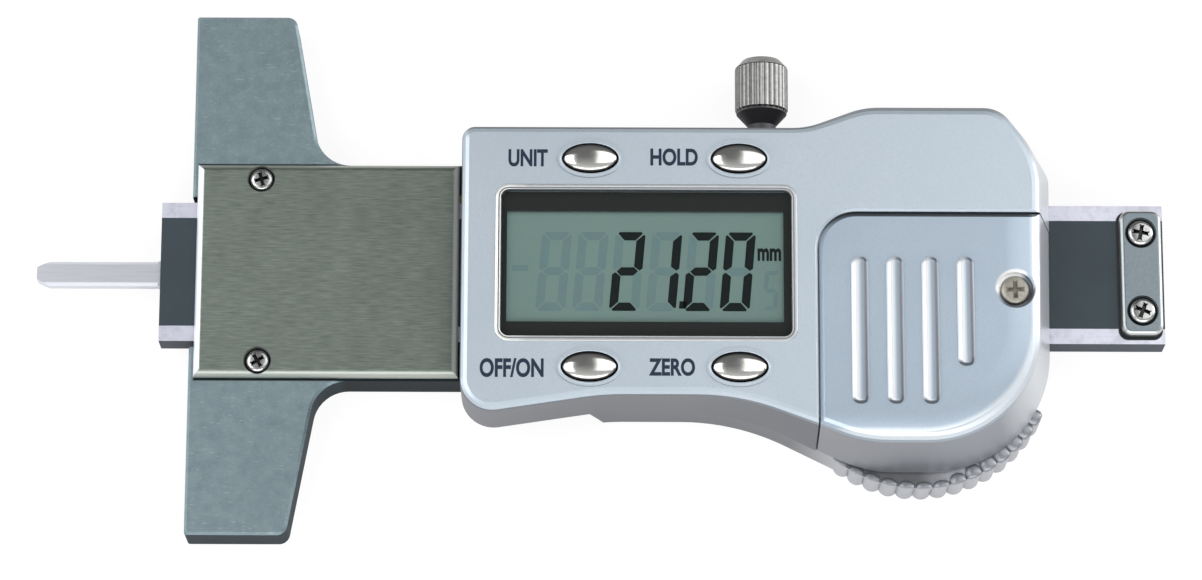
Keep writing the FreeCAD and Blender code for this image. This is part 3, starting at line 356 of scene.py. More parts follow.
def placed_copies(piece, places, finish, jitter=0.0, seed=1):
    """Plain mesh of a piece copied to (point, Euler turn, stretch) places; the piece goes."""
    mesh = bpy.data.meshes.new("places")
    mesh.from_pydata([place[0] for place in places], [], [])
    for number, label in ((1, "turn"), (2, "stretch")):
        values = mesh.attributes.new(label, "FLOAT_VECTOR", "POINT")
        for index, place in enumerate(places):
            values.data[index].vector = place[number]
    maker = bpy.data.objects.new("places", mesh)
    bpy.context.scene.collection.objects.link(maker)
    copying = maker.modifiers.new("copies", "NODES")
    copying.node_group = copier
    values = {"Piece": piece, "Finish": finish, "Jitter": jitter, "Seed": seed}
    for item in copier.interface.items_tree:
        if item.in_out == "INPUT" and item.name in values:
            copying[item.identifier] = values[item.name]
    mesh = evaluated(maker)
    bpy.data.objects.remove(piece)
    return mesh


def replace_screws(node, radius, head, shank_radius, length, seat_z, finish, seed, body):
    """Cross-head screws, sized in millimetres, in the places of a node's solids in a row along Y."""
    low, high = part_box(node)
    reach = (high.x - low.x) / 2
    middle = low.x + reach
    rows = {low.y + reach, high.y - reach}
    if high.y - low.y < 3 * reach:
        rows = {(low.y + high.y) / 2}
    screw = cross_screw(radius * mm, head * mm, shank_radius * mm, length * mm)
    places = [((middle, y, seat_z * mm), (0, 0, 0), (1, 1, 1)) for y in sorted(rows)]
    made = add_object(node + "_cross_head", placed_copies(screw, places, finish, 0.7, seed), finish)
    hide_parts(node)
    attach(made, body)


replace_screws("cover_plate_screws", radius=1.3, head=0.65, shank_radius=0.8, length=4.0, seat_z=2.25,
               finish=bright_screw, seed=3, body="frame")


# Gib strip and lock shoe: drawn brass, which takes the beam's wear.
finish, tree, surface, place, normal = start_finish("drawn_brass", "C2A15A", 1.0, 0.35)
two_tones(surface, place, 0.5, 3.0, "7D683C", "A8905A")
wear(finish, "gib_strip", "lock_shoe")


# Back plate: blank aluminium label plate, matt anodised, bonded in the frame's back.
finish, tree, surface, place, normal = start_finish("matt_anodised_aluminium", "C9CCCE", 1.0, 0.5)
grain = two_tones(surface, place, 0.12, 2.0, "BABDBF", "D6D9DB")
bump = add(tree, "Bump", {"Strength": 0.2, "Distance": 0.01 * mm, "Height": grain})
feed(surface, {"Normal": bump})
wear(finish, "back_plate")


# Beam: 16 mm bar of ground steel that slides in the frame. Its two edges beside the strip are
# lapped bright; the long sides are painted darker, as shade.
finish, tree, surface, place, normal = start_finish("lapped_beam_steel", "C9CCD8", 0.4, 0.36)
along = add(tree, "Mapping", {"Vector": place, "Scale": (1 / (12 * mm), 1 / (0.12 * mm), 1 / (0.12 * mm))})
grain = add(tree, "TexNoise", {"Vector": along, "Scale": 1.0, "Detail": 3.0})
facing = add(tree, "SeparateXYZ", [normal])
upright = add(tree, "Math", [facing.outputs["Z"]], operation="ABSOLUTE")
front = add(tree, "MapRange", [upright, 0.3, 0.62])
shine = add(tree, "Mix", [grain, linear("CCCDDB"), linear("E2E2EE")])
stains = add(tree, "TexNoise", {"Vector": place, "Scale": 1 / (1.3 * mm), "Detail": 4.0, "Roughness": 0.65})
stained = add(tree, "MapRange", [stains, 0.45, 0.65, 0, 0.5])
stain_and_shade = add(tree, "Mix", [stained, shine, linear("B3B3C0")])
# Faces that turn away from the front take the dark side tone: painted shade.
shaded = add(tree, "Mix", [front, linear("434A52"), stain_and_shade])
rough = add(tree, "MapRange", [front, 0, 1, 0.6, 0.3])
bump = add(tree, "Bump", {"Strength": 0.2, "Distance": 0.004 * mm, "Height": grain})
feed(surface, {"Base Color": shaded, "Roughness": rough, "Normal": bump})
beam_finish = finish
wear(finish, "beam")


# Scale strip: thin glass-epoxy laminate with a dark slate lacquer, bonded in the beam's recess.
# The lacquer is smooth and a little uneven.
finish, tree, surface, place, normal = start_finish("dark_laminate", "3B4950", 0.0, 0.42)
two_tones(surface, place, 5, 3.0, "263339", "303E45")
weave = add(tree, "TexNoise", {"Vector": place, "Scale": 1 / (0.3 * mm), "Detail": 2.0})
bump = add(tree, "Bump", {"Strength": 0.15, "Distance": 0.01 * mm, "Height": weave})
feed(surface, {"Normal": bump})
strip_finish = finish
wear(finish, "scale_strip")


# Depth pin: hardened steel blade pressed in the beam's end, ground along its length with two
# slopes at the tip.
finish, tree, surface, place, normal = start_finish("hardened_pin_steel", "9BA1A8", 1.0, 0.34)
along = add(tree, "Mapping", {"Vector": place, "Scale": (1 / (6 * mm), 1 / (0.15 * mm), 1 / (0.15 * mm))})
grain = add(tree, "TexNoise", {"Vector": along, "Scale": 1.0, "Detail": 3.0})
tint = add(tree, "Mix", [grain, linear("D0D2DC"), linear("F0F1F8")])
bump = add(tree, "Bump", {"Strength": 0.25, "Distance": 0.005 * mm, "Height": grain})
feed(surface, {"Base Color": tint, "Normal": bump})
wear(finish, "depth_pin")


# Stop plate: small steel plate on the beam's tail, satin ground, its rolled edge painted lighter as a
# highlight, held by two cross-head screws with a ring of painted shadow round each.
finish, tree, surface, place, normal = start_finish("satin_stop_steel", "A3ADB3", 1.0, 0.34)
grain = two_tones(surface, place, 0.3, 3.0, "7B868D", "949EA4")
facing = add(tree, "SeparateXYZ", [normal])
rolled = add(tree, "MapRange", [facing.outputs["Z"], 0.97, 0.8])
touch_up(finish, "D6D8D4", rolled)
bump = add(tree, "Bump", {"Strength": 0.2, "Distance": 0.01 * mm, "Height": grain})
feed(surface, {"Normal": bump})
screw_ring_shadow(finish, "stop_screws", 1.72)
wear(finish, "stop_plate")


def shade_round(finish, low, high, corner, code):
    """Darkens a finish inside a rounded rectangle."""
    tree = finish.node_tree
    place, normal = coordinates(tree)
    offset = add(tree, "VectorMath", [place, (low + high) / 2], operation="SUBTRACT")
    folded = add(tree, "VectorMath", [offset], operation="ABSOLUTE")
    inner = (high - low) / 2 - Vector((corner, corner, 0))
    beyond = add(tree, "VectorMath", [folded, inner], operation="SUBTRACT")
    flat = add(tree, "VectorMath", [beyond, (1, 1, 0)], operation="MULTIPLY")
    outside = add(tree, "VectorMath", [flat, (0, 0, 0)], operation="MAXIMUM")
    away = add(tree, "VectorMath", [outside], operation="LENGTH")
    share = add(tree, "MapRange", [away, corner + 0.05 * mm, corner - 0.05 * mm])
    touch_up(finish, code, share)


# Painted shadow: the beam and the strip are darkened round the stop plate, which stands proud of them.
stop_low, stop_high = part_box("stop_plate")
for finish in (beam_finish, strip_finish):
    shade_round(finish, stop_low - Vector((0.3, 0.4, 0)) * mm, stop_high + Vector((0.05, 0.1, 0)) * mm,
                1.1 * mm, "12171B")
replace_screws("stop_screws", radius=1.45, head=0.7, shank_radius=0.8, length=2.6, seat_z=2.7,
               finish=bright_screw, seed=8, body="beam")


# Reader shells: moulded ABS in satin silver paint. The flakes are 0.09 mm and give the paint a fine
# sparkle; the front shell is lightest, the cover a shade bluer, the back shell greyest.
def silver_paint(name, light, dark, side, crown):
    """Paint over a face that is softly crowned along Y with the given radius in millimetres."""
    finish, tree, surface, place, normal = start_finish(name, light, 0.55, 0.34)
    flakes = add(tree, "TexVoronoi", {"Vector": place, "Scale": 1 / (0.09 * mm)})
    clouds = add(tree, "TexNoise", {"Vector": place, "Scale": 1 / (9 * mm), "Detail": 2.0})
    flake = add(tree, "SeparateXYZ", [flakes.outputs["Color"]])
    amount = add(tree, "Math", [flake.outputs["X"], clouds], operation="MULTIPLY")
    tint = add(tree, "Mix", [amount, linear(dark), linear(light)])
    # Faces that turn away from the front take the side colour, and faces turned up towards +Y a dark grey:
    # both painted shade.
    facing = add(tree, "SeparateXYZ", [normal])
    front = add(tree, "MapRange", [facing.outputs["Z"], 0.2, 0.65])
    shaded = add(tree, "Mix", [front, linear(side), tint])
    shade = add(tree, "MapRange", [facing.outputs["Y"], 0.4, 0.75])
    shaded = add(tree, "Mix", [shade, shaded, linear("54575C")])
    position = add(tree, "SeparateXYZ", [place])
    across = add(tree, "Math", [position.outputs["Y"], 0.5 * mm], operation="SUBTRACT")
    square = add(tree, "Math", [across, across], operation="MULTIPLY")
    sag = add(tree, "Math", [square, -0.5 / (crown * mm)], operation="MULTIPLY")
    crowned = add(tree, "Bump", {"Strength": 1.0, "Distance": 1.0, "Height": sag}, name="crown")
    bump = add(tree, "Bump",
               {"Strength": 0.12, "Distance": 0.01 * mm, "Height": flake.outputs["X"], "Normal": crowned})
    feed(surface, {"Base Color": shaded, "Normal": bump})
    return finish


shell_finish = silver_paint("silver_painted_abs", "CDD7E0", "BCC8D2", "66686E", 420)
cover_finish = silver_paint("silver_painted_abs_cover", "B6C4D1", "A8B6C4", "86888D", 120)
back_finish = silver_paint("silver_painted_abs_back", "B6B8BD", "A8AAAF", "66686E", 420)

# The cover's face falls away over its last 3 mm towards the belly and the right end, and carries a
# painted highlight there. The fall runs from fall_start to fall_end round a centre, as a roll of radius
# fall_roll.
fall_centre, fall_start, fall_end, fall_roll = (80.8 * mm, -7.3 * mm, 0), 9.6 * mm, 12.8 * mm, 12 * mm
tree = cover_finish.node_tree
crown = tree.nodes["crown"]
place, normal = coordinates(tree)
inset = add(tree, "VectorMath", [place, fall_centre], operation="SUBTRACT")
turned_down = add(tree, "VectorMath", [inset, (1, -1, 0)], operation="MULTIPLY")
beyond = add(tree, "VectorMath", [turned_down, (0, 0, 0)], operation="MAXIMUM")
reach = add(tree, "VectorMath", [beyond], operation="LENGTH")
near = add(tree, "Math", [reach, fall_start], operation="SUBTRACT")
near = add(tree, "Math", [near, 0.0], operation="MAXIMUM")
near = add(tree, "Math", [near, fall_end - fall_start], operation="MINIMUM")
fall = add(tree, "Math", [near, near], operation="MULTIPLY")
fall = add(tree, "Math", [fall, -0.5 / fall_roll], operation="MULTIPLY")
height = add(tree, "Math", [crown.inputs["Height"].links[0].from_socket, fall], operation="ADD")
feed(crown, {"Height": height})
# Painted highlight near the falling edge.
pale = add(tree, "MapRange", [near, 2.6 * mm, 3.1 * mm, 0, 0.5])
facing = add(tree, "SeparateXYZ", [normal])
upper = add(tree, "MapRange", [facing.outputs["Z"], 0.5, 0.8])
touch_up(cover_finish, "FAFCFD", pale, upper)

# The cover's ribs are painted lighter on the side towards the pin as a highlight, and darker at their lower
# ends as shade.
position = add(tree, "SeparateXYZ", [place])
facing = add(tree, "SeparateXYZ", [normal])
raised = add(tree, "MapRange", [position.outputs["Z"], 10.33 * mm, 10.42 * mm])
towards = add(tree, "VectorMath", [normal, (-0.85, 0.5, 0.0)], operation="DOT_PRODUCT")
rib_left_highlight = add(tree, "MapRange", [towards, 0.1, 0.5])
touch_up(cover_finish, "FBFDFF", rib_left_highlight, raised)
# Across each rib the left edge is painted with a highlight, the right half and right edge with shade.
first_rib, rib_pitch = 74.3 * mm, 3.87 * mm
from_first = add(tree, "Math", [position.outputs["X"], first_rib], operation="SUBTRACT")
from_rib = add(tree, "Math", [from_first, rib_pitch / 2, -rib_pitch / 2], operation="WRAP")
for start, end, most, code in ((0.1, -0.3, 0.8, "FBFDFF"), (0.0, 0.5, 0.75, "7B7F87"),
                               (0.4, 0.6, 0.9, "5A5D64")):
    part = add(tree, "MapRange", [from_rib, start * mm, end * mm, 0, most])
    touch_up(cover_finish, code, part, raised)
rib_end_shade = add(tree, "MapRange", [facing.outputs["Y"], -0.15, -0.6])
touch_up(cover_finish, "5E6269", rib_end_shade, raised)
# Faces of the cover that turn to the right are painted lighter, as a highlight.
right_facing_highlight = add(tree, "MapRange", [facing.outputs["X"], 0.6, 0.9])
touch_up(cover_finish, "D3D6DA", right_facing_highlight)

# The rim round its screw is painted with a highlight above and to the left and with shade below.
screw_low, screw_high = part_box("battery_cover_screw")
offset = add(tree, "VectorMath", [place, (screw_low + screw_high) / 2], operation="SUBTRACT")
flat = add(tree, "VectorMath", [offset, (1, 1, 0)], operation="MULTIPLY")
away = add(tree, "VectorMath", [flat], operation="LENGTH")
ring = add(tree, "MapRange", [away, 2.3 * mm, 2.1 * mm])
outward = add(tree, "VectorMath", [flat], operation="NORMALIZE")
uphill = add(tree, "VectorMath", [outward, (-0.55, 0.83, 0)], operation="DOT_PRODUCT")
for start, end, code in ((0.25, 0.6, "FFFFFF"), (-0.1, -0.6, "777B80")):
    part = add(tree, "MapRange", [uphill, start, end])
    touch_up(cover_finish, code, part, ring)

# Beyond the joint line the back shell's side faces are painted lighter, as lit, over the painted side shade.
tree = back_finish.node_tree
place, normal = coordinates(tree)
position = add(tree, "SeparateXYZ", [place])
facing = add(tree, "SeparateXYZ", [normal])
lit_side_share = add(tree, "MapRange", [position.outputs["X"], 67 * mm, 72 * mm])
edgewise = add(tree, "MapRange", [facing.outputs["Z"], 0.65, 0.2])
below = add(tree, "MapRange", [facing.outputs["Y"], 0.35, 0.1])
touch_up(back_finish, "ABADB2", lit_side_share, edgewise, below)

# The thumb rest's ridges take a darker grey where they face up, and the hollow behind the first ones is
# painted dark as shade.
proud = add(tree, "MapRange", [position.outputs["Z"], 1.52 * mm, 1.62 * mm])
crest = add(tree, "MapRange", [facing.outputs["Z"], 0.2, 0.6, 0, 0.85])
touch_up(back_finish, "8A8D92", proud, crest)
# Painted shade in the hollow behind the first ridges.
low = add(tree, "MapRange", [position.outputs["Z"], 1.6 * mm, 1.55 * mm])
upper = add(tree, "MapRange", [facing.outputs["Z"], 0.8, 0.95])
first = add(tree, "MapRange", [position.outputs["X"], 85 * mm, 81 * mm])
touch_up(back_finish, "66686C", low, upper, first)

# Faces of the front shell that turn to the right are painted lighter, as a highlight.
tree = shell_finish.node_tree
place, normal = coordinates(tree)
facing = add(tree, "SeparateXYZ", [normal])
right_facing_highlight = add(tree, "MapRange", [facing.outputs["X"], 0.5, 0.9])
touch_up(shell_finish, "DDE0E4", right_facing_highlight)
wear(shell_finish, "housing_front")
wear(cover_finish, "battery_cover")
wear(back_finish, "housing_back")
replace_screws("battery_cover_screw", radius=1.65, head=0.7, shank_radius=0.8, length=4.6, seat_z=9.2,
               finish=dull_screw, seed=5, body="battery_cover")

# Thumb rest: rounded ridges fan out over the back shell's lower corner, one to each scallop of its
# edge. They are moulded with the shell and share its paint.
grip_x, grip_y, grip_radius, grip_top = 81.2 * mm, -9.1 * mm, 15.5 * mm, 1.5 * mm
grip_start, grip_end, grip_count = math.radians(231.5), math.radians(334.0), 14
ridge_half, ridge_rise = 0.96 * mm, 0.5 * mm
rows = []
for inwards, size in ((0.02, 0.55), (0.08, 0.8), (0.22, 1.0), (0.6, 1.0), (0.95, 0.85), (1.2, 0.6),
                      (1.35, 0.15)):
    rows.append([(-inwards * mm, ridge_half * size * math.cos(a), ridge_rise * size * max(math.sin(a), -0.3))
                 for a in (2 * math.pi * k / 20 for k in range(20))])
ridge = add_object("ridge", loft(rows), back_finish)
places = []
for index in range(grip_count):
    turn = grip_start + (grip_end - grip_start) * (index + 0.5) / grip_count
    longer = 0.65 + 1.6 * min(max((index - 6) / 5, 0), 1)
    point = (grip_x + grip_radius * math.cos(turn), grip_y + grip_radius * math.sin(turn), grip_top)
    places.append((point, (0, 0, turn), (longer, 1, 1)))
ridges = add_object("thumb_rest_ridges", placed_copies(ridge, places, back_finish), back_finish)
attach(ridges, "frame")


# Circuit board: glass-epoxy laminate under green solder mask, with its chip under black epoxy,
# ceramic capacitors and the clock crystal in its can.
finish, tree, surface, place, normal = start_finish("green_solder_mask", "1C5A34", 0.0, 0.3)
tracks = add(tree, "TexBrick",
             {"Vector": place, "Scale": 1 / (4 * mm), "Color1": linear("1C5A34"), "Color2": linear("205F38"),
              "Mortar": linear("2F7A49"), "Mortar Size": 0.06})
feed(surface, {"Base Color": tracks.outputs["Color"]})
wear(finish, "circuit_board")

finish, tree, surface, place, normal = start_finish("black_chip_epoxy", "121212", 0.0, 0.25)
dimples = add(tree, "TexNoise", {"Vector": place, "Scale": 1 / (1.5 * mm), "Detail": 2.0})
bump = add(tree, "Bump", {"Strength": 0.2, "Distance": 0.05 * mm, "Height": dimples})
feed(surface, {"Normal": bump})
wear(finish, "chip_glob")

finish, tree, surface, place, normal = start_finish("ceramic_and_tin", "A9926E", 0.2, 0.45)
two_tones(surface, place, 0.5, 2.0, "8F7A58", "BFAE90")
wear(finish, "board_components")


# Battery: LR44 button cell in a nickel-plated can. Its two contacts are nickel-plated spring leaves.
finish, tree, surface, place, normal = start_finish("nickel_plated_can", "C9C8C4", 1.0, 0.22)
rings = two_tones(surface, place, 0.8, 4.0, "B9B8B3", "DAD9D6")
rough = add(tree, "MapRange", [rings, 0, 1, 0.14, 0.34])
feed(surface, {"Roughness": rough})
wear(finish, "battery", "battery_negative_contact", "battery_positive_contact")


# Key domes and the display's two connectors: grey silicone rubber.
finish, tree, surface, place, normal = start_finish("grey_silicone", "B9BBB7", 0.0, 0.6)
two_tones(surface, place, 0.6, 2.0, "A9ABA8", "C6C8C4")
wear(finish, "zebra_strips", "unit_key_dome", "hold_key_dome", "off_on_key_dome", "zero_key_dome")


# Display: reflective liquid crystal glass in grey-green. Unlit segments show faintly, as they do on
# the real one when it is seen from an angle.
lcd_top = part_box("lcd_panel")[1].z
finish, tree, surface, place, normal = start_finish("liquid_crystal_glass", "718482", 0.0, 0.5)
clouds = add(tree, "TexNoise", {"Vector": place, "Scale": 1 / (14 * mm), "Detail": 2.0})
paper = add(tree, "TexNoise", {"Vector": place, "Scale": 1 / (0.15 * mm), "Detail": 2.0})
blend = add(tree, "Mix", [clouds, linear("738785"), linear("7A8E89")])
grainy = add(tree, "Mix", [0.12, blend, paper.outputs["Color"]], blend_type="OVERLAY")
feed(surface, {"Base Color": grainy})
wear(finish, "lcd_panel")

digit_width, digit_height, stroke, digit_lean = 3.3 * mm, 9.0 * mm, 0.95 * mm, 0.085
segment_gap, corner_cut = 0.1 * mm, 0.42 * mm
digit_middle_y = -1.75 * mm
third_digit_x, digit_pitch = 48.78, 4.06
digit_centres = [(third_digit_x + digit_pitch * place) * mm for place in (-2, -1, 0, 1, 2, 3)]
shown = {"2": "abged", "1": "bc", "0": "abcdef"}


def segment_outline(name):
    """Corners of one segment about its digit's centre: a top, b and c right, d foot, e and f left, g bar."""
    x, y, g, cut = digit_width / 2, digit_height / 2, segment_gap, corner_cut
    top = [(-x + cut, y), (x - cut, y), (x - cut / 2 - g, y - cut / 2 + g / 4), (x - stroke - g, y - stroke),
           (-x + stroke + g, y - stroke), (-x + cut / 2 + g, y - cut / 2 + g / 4)]
    right = [(x, y - cut), (x, g + 0.25 * mm), (x - stroke * 0.35, g), (x - stroke, g + 0.5 * stroke),
             (x - stroke, y - stroke - g), (x - cut / 2 + g / 4, y - cut / 2 - g)]
    bar = stroke * 0.5
    outlines = {
        "a": top,
        "b": right,
        "c": [(px, -py) for px, py in reversed(right)],
        "d": [(px, -py) for px, py in reversed(top)],
        "e": [(-px, -py) for px, py in right],
        "f": [(-px, py) for px, py in reversed(right)],
        "g": [(-x + bar, 0), (-x + 2 * bar, bar), (x - 2 * bar, bar), (x - bar, 0), (x - 2 * bar, -bar),
              (-x + 2 * bar, -bar)],
    }
    return [(px + py * digit_lean, py) for px, py in outlines[name]]


def plates(name, groups, z, thickness, finish):
    """Thin raised plates with the given outlines, as one object."""
    mesh = bpy.data.meshes.new(name)
    shape = bmesh.new()
    for outline in groups:
        low = [shape.verts.new((x, y, z)) for x, y in outline]
        high = [shape.verts.new((x, y, z + thickness)) for x, y in outline]
        shape.faces.new(high)
        shape.faces.new(list(reversed(low)))
        for index in range(len(low)):
            following = (index + 1) % len(low)
            shape.faces.new((low[index], low[following], high[following], high[index]))
    bmesh.ops.recalc_face_normals(shape, faces=shape.faces)
    shape.to_mesh(mesh)
    shape.free()
    return add_object(name, mesh, finish)


def ink(name, code, roughness):
    """Printed or driven marks: flat tone with a little unevenness."""
    finish, tree, surface, place, normal = start_finish(name, code, 0.0, roughness)
    haze = add(tree, "TexNoise", {"Vector": place, "Scale": 1 / (1.2 * mm), "Detail": 3.0})
    tint = add(tree, "Mix", [0.1, linear(code), haze.outputs["Color"]], blend_type="OVERLAY")
    feed(surface, {"Base Color": tint})
    surface.inputs["Specular IOR Level"].default_value = 0.15
    return finish


lit_ink = ink("driven_segment", "0C1315", 0.5)
faint_ink = ink("idle_segment", "718588", 0.5)
lit, faint = [], []
for centre, sign in zip(digit_centres, "  2120"):
    for name in "abcdefg":
        placed = [(x + centre, y + digit_middle_y) for x, y in segment_outline(name)]
        (lit if name in shown.get(sign, "") else faint).append(placed)
# A small idle five stands at the right, beside the unit's sign.
for name in "acdfg":
    faint.append([(x * 0.5 + 64.6 * mm, y * 0.5 - 3.9 * mm) for x, y in segment_outline(name)])


def spot(x, y, width, height):
    """Small leaning rectangle about a point, in millimetres."""
    return [((x + side * width / 2 + up * height / 2 * digit_lean) * mm, (y + up * height / 2) * mm)
            for side, up in ((-1, -1), (1, -1), (1, 1), (-1, 1))]


# The decimal point and the idle minus sign.
lit.append(spot(54.9, -5.55, 0.8, 0.85))
faint.append(spot(36.95, -1.4, 1.75, 0.7))
lit_segments = plates("display_digits", lit, lcd_top, 0.02 * mm, lit_ink)
faint_segments = plates("display_idle_segments", faint, lcd_top, 0.01 * mm, faint_ink)
for made in (lit_segments, faint_segments):
    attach(made, "frame")


# Display window: clear acrylic, bonded in the front shell, with a black border printed on its back.
lens_low, lens_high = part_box("window_lens")
finish = bpy.data.materials.new("clear_acrylic")
tree = bare_tree(finish)
place, normal = coordinates(tree)
smears = add(tree, "TexNoise", {"Vector": place, "Scale": 1 / (6 * mm), "Detail": 3.0})
rough = add(tree, "MapRange", [smears, 0, 1, 0.03, 0.09])
gloss = add(tree, "BsdfGlossy", {"Color": linear("FFFFFF"), "Roughness": rough})
clear = add(tree, "BsdfTransparent", {"Color": linear("F7FAF9")})
rim = add(tree, "Fresnel", {"IOR": 1.49})
faces = add(tree, "NewGeometry")
outer = add(tree, "Math", [1.0, faces.outputs["Backfacing"]], operation="SUBTRACT")
mirrored = add(tree, "Math", [rim, outer], operation="MULTIPLY")
both = add(tree, "MixShader", [mirrored, clear, gloss])
add(tree, "OutputMaterial", {"Surface": both})
wear(finish, "window_lens")

border_ink = ink("black_window_print", "212222", 0.5)
border_left, border_right = lens_low.x + 0.02 * mm, lens_high.x - 0.02 * mm
border_low, border_high = lens_low.y + 0.02 * mm, lens_high.y - 0.02 * mm
view_left, view_right, view_low, view_high = 35.5 * mm, 66.0 * mm, -7.6 * mm, 5.0 * mm
border_z = lens_low.z + 0.01 * mm
strips = [(border_left, border_low, border_right, view_low),
          (border_left, view_high, border_right, border_high),
          (border_left, view_low, view_left, view_high),
          (view_right, view_low, border_right, view_high)]
sides = [[(left, low), (right, low), (right, high), (left, high)] for left, low, right, high in strips]
border = plates("window_border", sides, border_z, 0.03 * mm, border_ink)
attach(border, "frame")

# Window rim: moulded bead round the window, with a groove in it. The bead is painted bright as a
# highlight, most at its left side and greyer further right, and its groove is painted dark as shade.
front_z = 10.3 * mm
window_round = 0.9 * mm
finish, tree, surface, place, normal = start_finish("bright_silver_bead", "E2E4E2", 0.3, 0.24)
two_tones(surface, place, 0.5, 3.0, "D2D4D2", "F2F3F0")
position = add(tree, "SeparateXYZ", [place])
groove_shade = add(tree, "MapRange", [position.outputs["Z"], front_z + 0.05 * mm, front_z + 0.01 * mm])
touch_up(finish, "55585A", groove_shade)
# Painted highlight kept to the left end; the bead greys beyond it.
stain_and_shade = add(tree, "MapRange", [position.outputs["X"], lens_low.x + 0.6 * mm, lens_low.x + 3 * mm, 0, 0.65])
touch_up(finish, "9DA1A6", stain_and_shade)
bead_finish = finish
# (out from the window, up from the shell's face) in millimetres, from the inner foot over the groove
bead_profile = [(0.02, -0.35), (0.03, 0.04), (0.06, 0.08), (0.12, 0.09), (0.17, 0.05), (0.19, 0.005),
                (0.27, 0.005), (0.3, 0.05), (0.37, 0.1), (0.52, 0.1), (0.6, 0.05), (0.66, -0.02), (0.3, -0.1)]


def rounded_rectangle(low, high, radius, z, steps=8):
    """Points of a rounded rectangle's outline, counter-clockwise from its lower right corner."""
    points = []
    corners = ((high.x, low.y, -90), (high.x, high.y, 0), (low.x, high.y, 90), (low.x, low.y, 180))
    for x, y, start in corners:
        middle_x = x - radius if x == high.x else x + radius
        middle_y = y - radius if y == high.y else y + radius
        for step in range(steps + 1):
            turn = math.radians(start + 90 * step / steps)
            points.append((middle_x + radius * math.cos(turn), middle_y + radius * math.sin(turn), z))
    return points


rows = []
for out, up in bead_profile:
    spread = Vector((out, out, 0)) * mm
    rows.append(rounded_rectangle(lens_low - spread, lens_high + spread, window_round + out * mm,
                                  front_z + up * mm))
bead = add_object("window_rim", loft(rows, ring=True), bead_finish)
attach(bead, "frame")


# Lettering: pad-printed in dark blue-grey beside the keys and on the display.
label_ink = ink("dark_pad_print", "263142", 0.5)


def lettering(name, words, left, right, low, high, z, thickness, finish, weight):
    """Words fitted to a box in millimetres and raised by the print's thickness."""
    curve = bpy.data.curves.new(name, "FONT")
    curve.body = words
    curve.resolution_u = 6
    curve.offset = weight
    curve.extrude = 0.5
    written = bpy.data.objects.new(name + "_curve", curve)
    bpy.context.scene.collection.objects.link(written)
    mesh = evaluated(written)
    corners = [v.co for v in mesh.vertices]
    size = [(min(c[axis] for c in corners), max(c[axis] for c in corners)) for axis in range(3)]
    target = ((left * mm, right * mm), (low * mm, high * mm), (z, z + thickness))
    for vertex in mesh.vertices:
        for axis in range(3):
            share = (vertex.co[axis] - size[axis][0]) / (size[axis][1] - size[axis][0])
            vertex.co[axis] = target[axis][0] + share * (target[axis][1] - target[axis][0])
    return add_object(name, mesh, finish)


labels = {
    "label_unit": ("UNIT", 35.6, 39.95, 9.85, 11.85),
    "label_hold": ("HOLD", 51.3, 56.55, 10.0, 12.0),
    "label_off_on": ("OFF/ON", 32.65, 39.65, -14.15, -12.0),
    "label_zero": ("ZERO", 51.15, 56.2, -13.95, -11.95),
}
for name, (words, left, right, low, high) in labels.items():
    made = lettering(name, words, left, right, low, high, front_z, thickness=0.015 * mm, finish=label_ink,
                     weight=0.034)
    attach(made, "frame")
unit_sign = lettering("display_unit_sign", "mm", 63.15, 65.75, -0.5, 0.95, lcd_top, thickness=0.02 * mm,
                      finish=lit_ink, weight=0.036)
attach(unit_sign, "frame")


# Keys: four ovals of ABS, chrome plated and softly domed. Each stands in a raised collar of the
# front shell and pushes on a silicone dome.
finish, tree, surface, place, normal = start_finish("chrome_plated_abs", "EDECE8", 1.0, 0.14)
grain = add(tree, "TexNoise", {"Vector": place, "Scale": 1 / (0.9 * mm), "Detail": 2.0})
facing = add(tree, "SeparateXYZ", [normal])
# The dome's steep rim is painted dark, as shade.
rim_shade = add(tree, "MapRange", [facing.outputs["Z"], 0.78, 0.93])
shaded = add(tree, "Mix", [rim_shade, linear("3A3A39"), linear("F0EFEA")])
rough = add(tree, "MapRange", [grain, 0, 1, 0.1, 0.2])
bump = add(tree, "Bump", {"Strength": 0.1, "Distance": 0.02 * mm, "Height": grain})
feed(surface, {"Base Color": shaded, "Roughness": rough, "Normal": bump})
key_finish = finish
key_half_length, key_half_width = 3.0 * mm, 1.6 * mm
key_foot, key_side_top, key_dome_rise = 8.9 * mm, 10.4 * mm, 0.6 * mm
key_gap = 0.15 * mm
key_centres = {"unit": (44.65, 10.8), "hold": (61.1, 10.8), "off_on": (44.65, -12.95), "zero": (61.1, -12.95)}
# (out from the gap round the key, up from the shell's face) in millimetres
collar_profile = [(0.0, -0.2), (0.0, 0.1), (0.05, 0.15), (0.12, 0.17), (0.2, 0.15), (0.28, 0.09),
                  (0.35, 0.02), (0.38, -0.03), (0.2, -0.1)]
for name, (key_x, key_y) in key_centres.items():
    centre = (key_x * mm, key_y * mm)
    levels = [(1.0, key_foot), (1.0, key_side_top)]
    for step in range(1, 13):
        turn = math.pi / 2 * step / 12
        levels.append((max(math.cos(turn), 0.02), key_side_top + key_dome_rise * math.sin(turn)))
    rows = [ellipse(centre, key_half_length * share, key_half_width * share, z, 64) for share, z in levels]
    made = add_object(name + "_key", loft(rows), key_finish)
    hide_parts(name + "_button")
    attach(made, name + "_button")
    rows = []
    for out, up in collar_profile:
        spread = key_gap + out * mm
        rows.append(ellipse(centre, key_half_length + spread, key_half_width + spread, front_z + up * mm, 64))
    collar = add_object(name + "_collar", loft(rows, ring=True), shell_finish)
    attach(collar, "frame")


